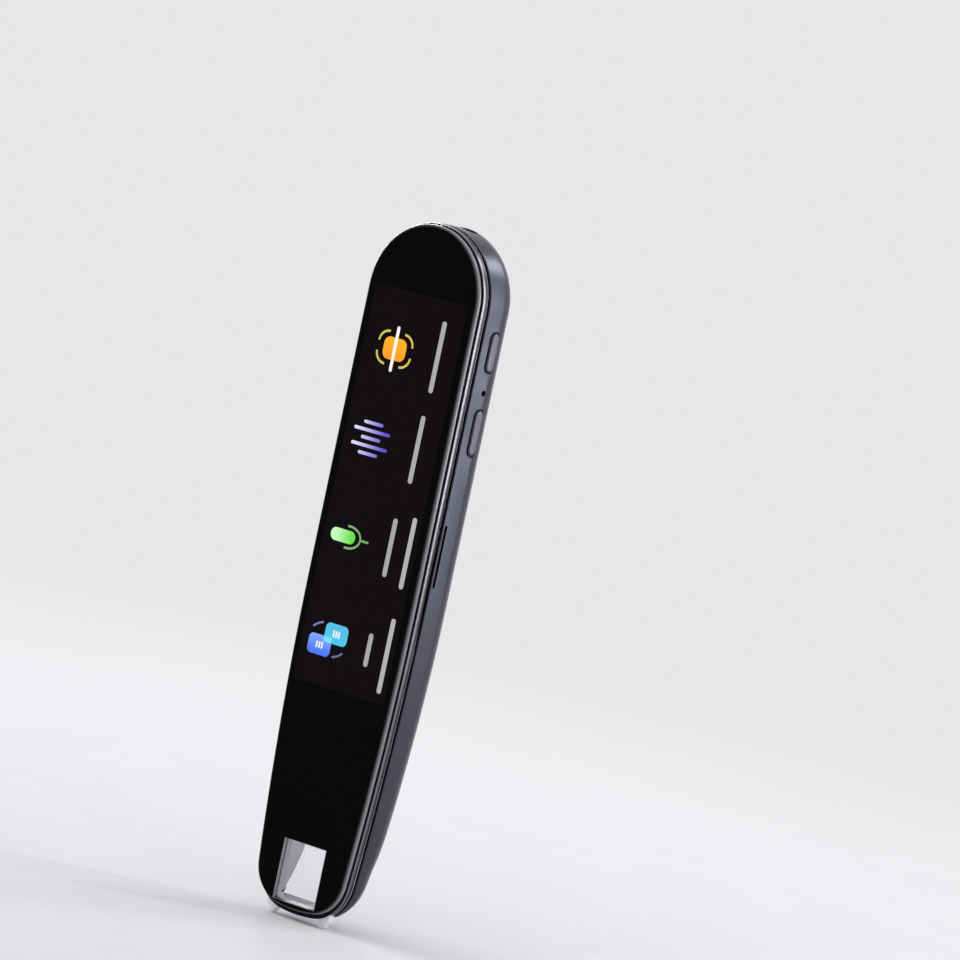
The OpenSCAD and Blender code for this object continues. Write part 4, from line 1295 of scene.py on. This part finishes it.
@dataclass
class ScreenMarks:
    """The four menu marks and their captions on the lit screen, drawn as thin prints."""

    form: BodyForm
    shop: Workshop
    lift: float = 0.012
    root: float = 0.06

    def mark(
        self, name: str, shapes: Iterable[Flat], tint: str, first: Colour, last: Colour,
        axis: Axis, low: float, high: float, layer: int = 1,
    ) -> None:
        """Lays flat shapes on the screen as one glowing piece.

        Args:
            name: The piece's name.
            shapes: Its shapes in x and z.
            tint: The name of its finish.
            first: Its colour at the low end.
            last: Its colour at the high end.
            axis: The axis between the ends.
            low: Where the low end is.
            high: Where the high end is.
            layer: How many prints lie on each other up to this one.
        """
        finish = LitFinish(tint, first, last=last, axis=axis, reach=(low, high))
        front, back = self.form.y(-self.lift * layer), self.form.y(self.root)
        parts = [prism(shape, Axis.Y, front, back) for shape in shapes]
        self.shop.hand_over(as_object(name, joined(parts)), finish, "screen")

    def build_scan(self) -> None:
        """An orange tile in four corner brackets, crossed by a white line."""
        x, z = -4.25, self.form.at(28.05)
        self.mark("mark_tile", [rounded(x, z, 6.4, 4.8, 1.6)], "tile_orange",
                  (1.0, 0.33, 0.0), (1.0, 0.43, 0.0), Axis.Z, z - 2.4, z + 2.4)
        corners = [
            band(x + sx * 2.1, z + sz * 1.1, 2.65, 2.4, start, start + 90, 0.5)
            for sx, sz, start in ((1, 1, 0), (-1, 1, 90), (-1, -1, 180), (1, -1, 270))
        ]
        self.mark("mark_brackets", corners, "bracket_gold",
                  (0.62, 0.55, 0.09), (0.70, 0.52, 0.09), Axis.X, x - 5, x + 5)
        self.mark("mark_line", [rounded(x, z, 0.8, 9.8)], "line_white",
                  (0.95, 0.93, 0.88), (1.0, 0.98, 0.95), Axis.Z, z - 5, z + 5, layer=2)

    def build_waves(self) -> None:
        """Five violet bars of a sound wave."""
        x, z, pitch = -5.65, self.form.at(47.75), 1.65
        bars = [rounded(x, z + pitch * k, 10.3 if k in (-1, 1) else 5.5, 0.72)
                for k in range(-2, 3)]
        self.mark("mark_waves", bars, "wave_violet",
                  (0.76, 0.72, 0.98), (0.08, 0.06, 0.60), Axis.X, x - 6, x + 5)

    def build_voice(self) -> None:
        """A green microphone lying on its side."""
        z = self.form.at(69.2)
        self.mark("mark_voice", [rounded(-7.6, z, 7.0, 2.8)], "voice_green",
                  (0.58, 0.95, 0.5), (0.1, 0.72, 0.03), Axis.X, -11, -4)
        cradle = [band(-6.1, z, 3.5, 2.35, -100, 100, 0.48), rounded(-1.4, z, 2.4, 0.5)]
        self.mark("mark_cradle", cradle, "cradle_green",
                  (0.2, 0.42, 0.14), (0.16, 0.36, 0.1), Axis.X, -6, 0)

    def build_pages(self) -> None:
        """Two overlapping tiles, one blue and one cyan, between two faint arcs."""
        x, z = -5.75, self.form.at(91.4)
        back = (x - 2.05, z - 1.55)
        front = (x + 2.05, z + 1.55)
        self.mark("mark_page_back", [rounded(*back, 6.5, 4.3, 1.2)], "page_blue",
                  (0.05, 0.16, 0.86), (0.2, 0.36, 0.98), Axis.Z, z - 4, z + 1)
        self.mark("mark_page_front", [rounded(*front, 6.5, 4.3, 1.2)], "page_cyan",
                  (0.05, 0.56, 0.8), (0.08, 0.5, 0.76), Axis.Z, z - 1, z + 4, layer=2)
        self.mark("mark_page_overlap", [rounded(x, z, 2.4, 1.2, 0.5)], "page_overlap",
                  (0.22, 0.74, 0.98), (0.16, 0.68, 0.95), Axis.Z, z - 1, z + 1, layer=3)
        dots = [
            rounded(px + dx, pz, 0.42, 1.5, 0.2)
            for px, pz in (back, front) for dx in (-0.7, 0.05, 0.8)
        ]
        self.mark("mark_page_lines", dots, "page_white",
                  (0.85, 0.92, 1.0), (0.9, 0.95, 1.0), Axis.Z, z - 3, z + 3, layer=4)
        arcs = [band(x, z, 5.6, 3.6, start, start + 36, 0.45) for start in (112, -68)]
        self.mark("mark_arcs", arcs, "arc_blue",
                  (0.14, 0.19, 0.46), (0.1, 0.14, 0.36), Axis.X, x - 5, x + 5)

    def build_captions(self) -> None:
        """One plain bar in the place of each caption line: no words are drawn."""
        lines = ((7.9, 27.3, 15.4), (7.5, 47.3, 14.6), (5.9, 68.8, 12.6), (11.1, 68.9, 15.4),
                 (5.9, 91.0, 7.2), (11.1, 91.1, 16.2))
        bars = [rounded(x, self.form.at(below), 1.25, length, 0.6) for x, below, length in lines]
        self.mark("mark_captions", bars, "caption_pale",
                  (0.36, 0.35, 0.36), (0.44, 0.43, 0.44), Axis.X, 4, 12)

    def build(self) -> None:
        """Draws every mark."""
        for draw in (self.build_scan, self.build_waves, self.build_voice, self.build_pages,
                     self.build_captions):
            draw()


# ---- Studio ----


def bearing(azimuth: float, elevation: float) -> Vector:
    """The way from the pen to a place seen at these angles in degrees: 0 is before the glass."""
    a, e = math.radians(azimuth), math.radians(elevation)
    return Vector((math.sin(a) * math.cos(e), -math.cos(a) * math.cos(e), math.sin(e)))


@dataclass
class Studio:
    """The floor, the light and the camera."""

    azimuth: float = 40.0
    elevation: float = 5.0
    lean: float = 12.0
    distance: float = 1.7
    focal: float = 301.0
    aim: Pair = (0.0201, 0.0201)
    clip: Pair = (0.05, 20.0)
    backdrop: Colour = (0.80, 0.80, 0.82)
    room_tone: Colour = (0.95, 0.97, 1.0)
    room_light: float = 0.5
    floor_tones: tuple[Colour, Colour] = ((0.66, 0.66, 0.67), (0.70, 0.70, 0.71))
    floor_grain: float = 40.0
    floor_radius: float = 2.0
    floor_steps: int = 96
    floor_fade: Pair = (0.18, 0.6)
    lamp_aim: float = 0.07
    lamps: tuple[tuple[str, float, float, float, Pair, float], ...] = (
        ("key_left", -70, 42, 1.1, (0.7, 0.9), 4.6),
        ("strip_right", 134, 8, 0.9, (0.10, 0.9), 3.8),
        ("overhead", 30, 80, 1.1, (0.9, 0.9), 3.4),
        ("strip_left", -134, 8, 0.9, (0.10, 0.9), 3.8),
        ("shoulder", 165, 38, 1.0, (0.25, 0.25), 1.6),
    )

    def camera(self) -> None:
        """Sets the camera at the pen's front right, rolled so that the pen leans."""
        low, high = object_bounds()
        back = bearing(self.azimuth, self.elevation)
        roll = math.radians(self.lean)
        level = Vector((0, 0, 1)).cross(back).normalized()
        upright = back.cross(level)
        right = level * math.cos(roll) + upright * math.sin(roll)
        up = upright * math.cos(roll) - level * math.sin(roll)
        data = bpy.data.cameras.new("camera")
        data.lens = self.focal
        data.clip_start, data.clip_end = self.clip
        eye = bpy.data.objects.new("camera", data)
        bpy.context.scene.collection.objects.link(eye)
        target = (low + high) / 2 + right * self.aim[0] + up * self.aim[1]
        turn = Matrix((right, up, back)).transposed().to_4x4()
        eye.matrix_world = Matrix.Translation(target + back * self.distance) @ turn
        bpy.context.scene.camera = eye

    def floor(self) -> None:
        """Lays a round pale floor that melts into the room's own tone away from the pen."""
        bm = bmesh.new()
        bmesh.ops.create_circle(bm, cap_ends=True, segments=self.floor_steps,
                                radius=self.floor_radius)
        disc = as_object("floor", bm)
        shade = Shade("floor_paper")
        shade.set(Base_Color=shade.mix(shade.noise(self.floor_grain), *self.floor_tones),
                  Roughness=0.9, Specular_IOR_Level=0.0)
        far = shade.add("ShaderNodeVectorMath", "Value", {0: shade.coords}, operation="LENGTH")
        share = shade.times(shade.span(far, *self.floor_fade), shade.seen_directly())
        glow = shade.add("ShaderNodeEmission", 0, {"Color": self.backdrop})
        shade.feed(shade.between(share, shade.shader.outputs[0], glow),
                   shade.tree.nodes["Material Output"].inputs["Surface"])
        disc.data.materials.append(shade.material)
        disc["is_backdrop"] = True

    def lamp(
        self, name: str, azimuth: float, elevation: float, distance: float, size: Pair,
        power: float,
    ) -> None:
        """Hangs a soft box that faces the pen."""
        data = bpy.data.lights.new(name, "AREA")
        data.shape, data.size, data.size_y = "RECTANGLE", *size
        data.energy = power
        back = bearing(azimuth, elevation)
        soft_box = bpy.data.objects.new(name, data)
        soft_box.matrix_world = (
            Matrix.Translation(back * distance + Vector((0, 0, self.lamp_aim)))
            @ back.to_track_quat("Z", "Y").to_matrix().to_4x4()
        )
        bpy.context.scene.collection.objects.link(soft_box)

    def world(self) -> None:
        """A pale room that shows its own tone and lights the pen softly."""
        world = bpy.data.worlds.new("room")
        bpy.context.scene.world = world
        world.use_nodes = True
        room = Nodes(world.node_tree)
        light = room.tree.nodes["Background"]
        room.feed(self.room_tone, light.inputs["Color"])
        room.feed(self.room_light, light.inputs["Strength"])
        seen = room.add("ShaderNodeBackground", 0, {"Color": self.backdrop})
        room.feed(room.between(room.seen_directly(), light.outputs[0], seen),
                  room.tree.nodes["World Output"].inputs["Surface"])

    def build(self) -> None:
        """Sets up the whole studio."""
        self.floor()
        for lamp in self.lamps:
            self.lamp(*lamp)
        self.world()
        self.camera()
        bpy.context.scene.view_settings.view_transform = "Standard"


def main() -> None:
    """Dresses the translator piece by piece and sets up the studio."""
    logging.basicConfig(level=logging.INFO, format="%(name)s: %(message)s")
    form = BodyForm()
    shop = Workshop()
    shop.dress_nodes()
    CoverGlass(form).build(shop)
    FrameBand(form).build(shop)
    housing = Housing(form)
    housing.build_shell(shop)
    housing.build_window(shop)
    for part in (SpeakerPlate, Keys, Feet, ReturnSprings):
        part(form).build(shop)
    ScreenMarks(form, shop).build()
    Studio().build()


if __name__ == "__main__":
    main()
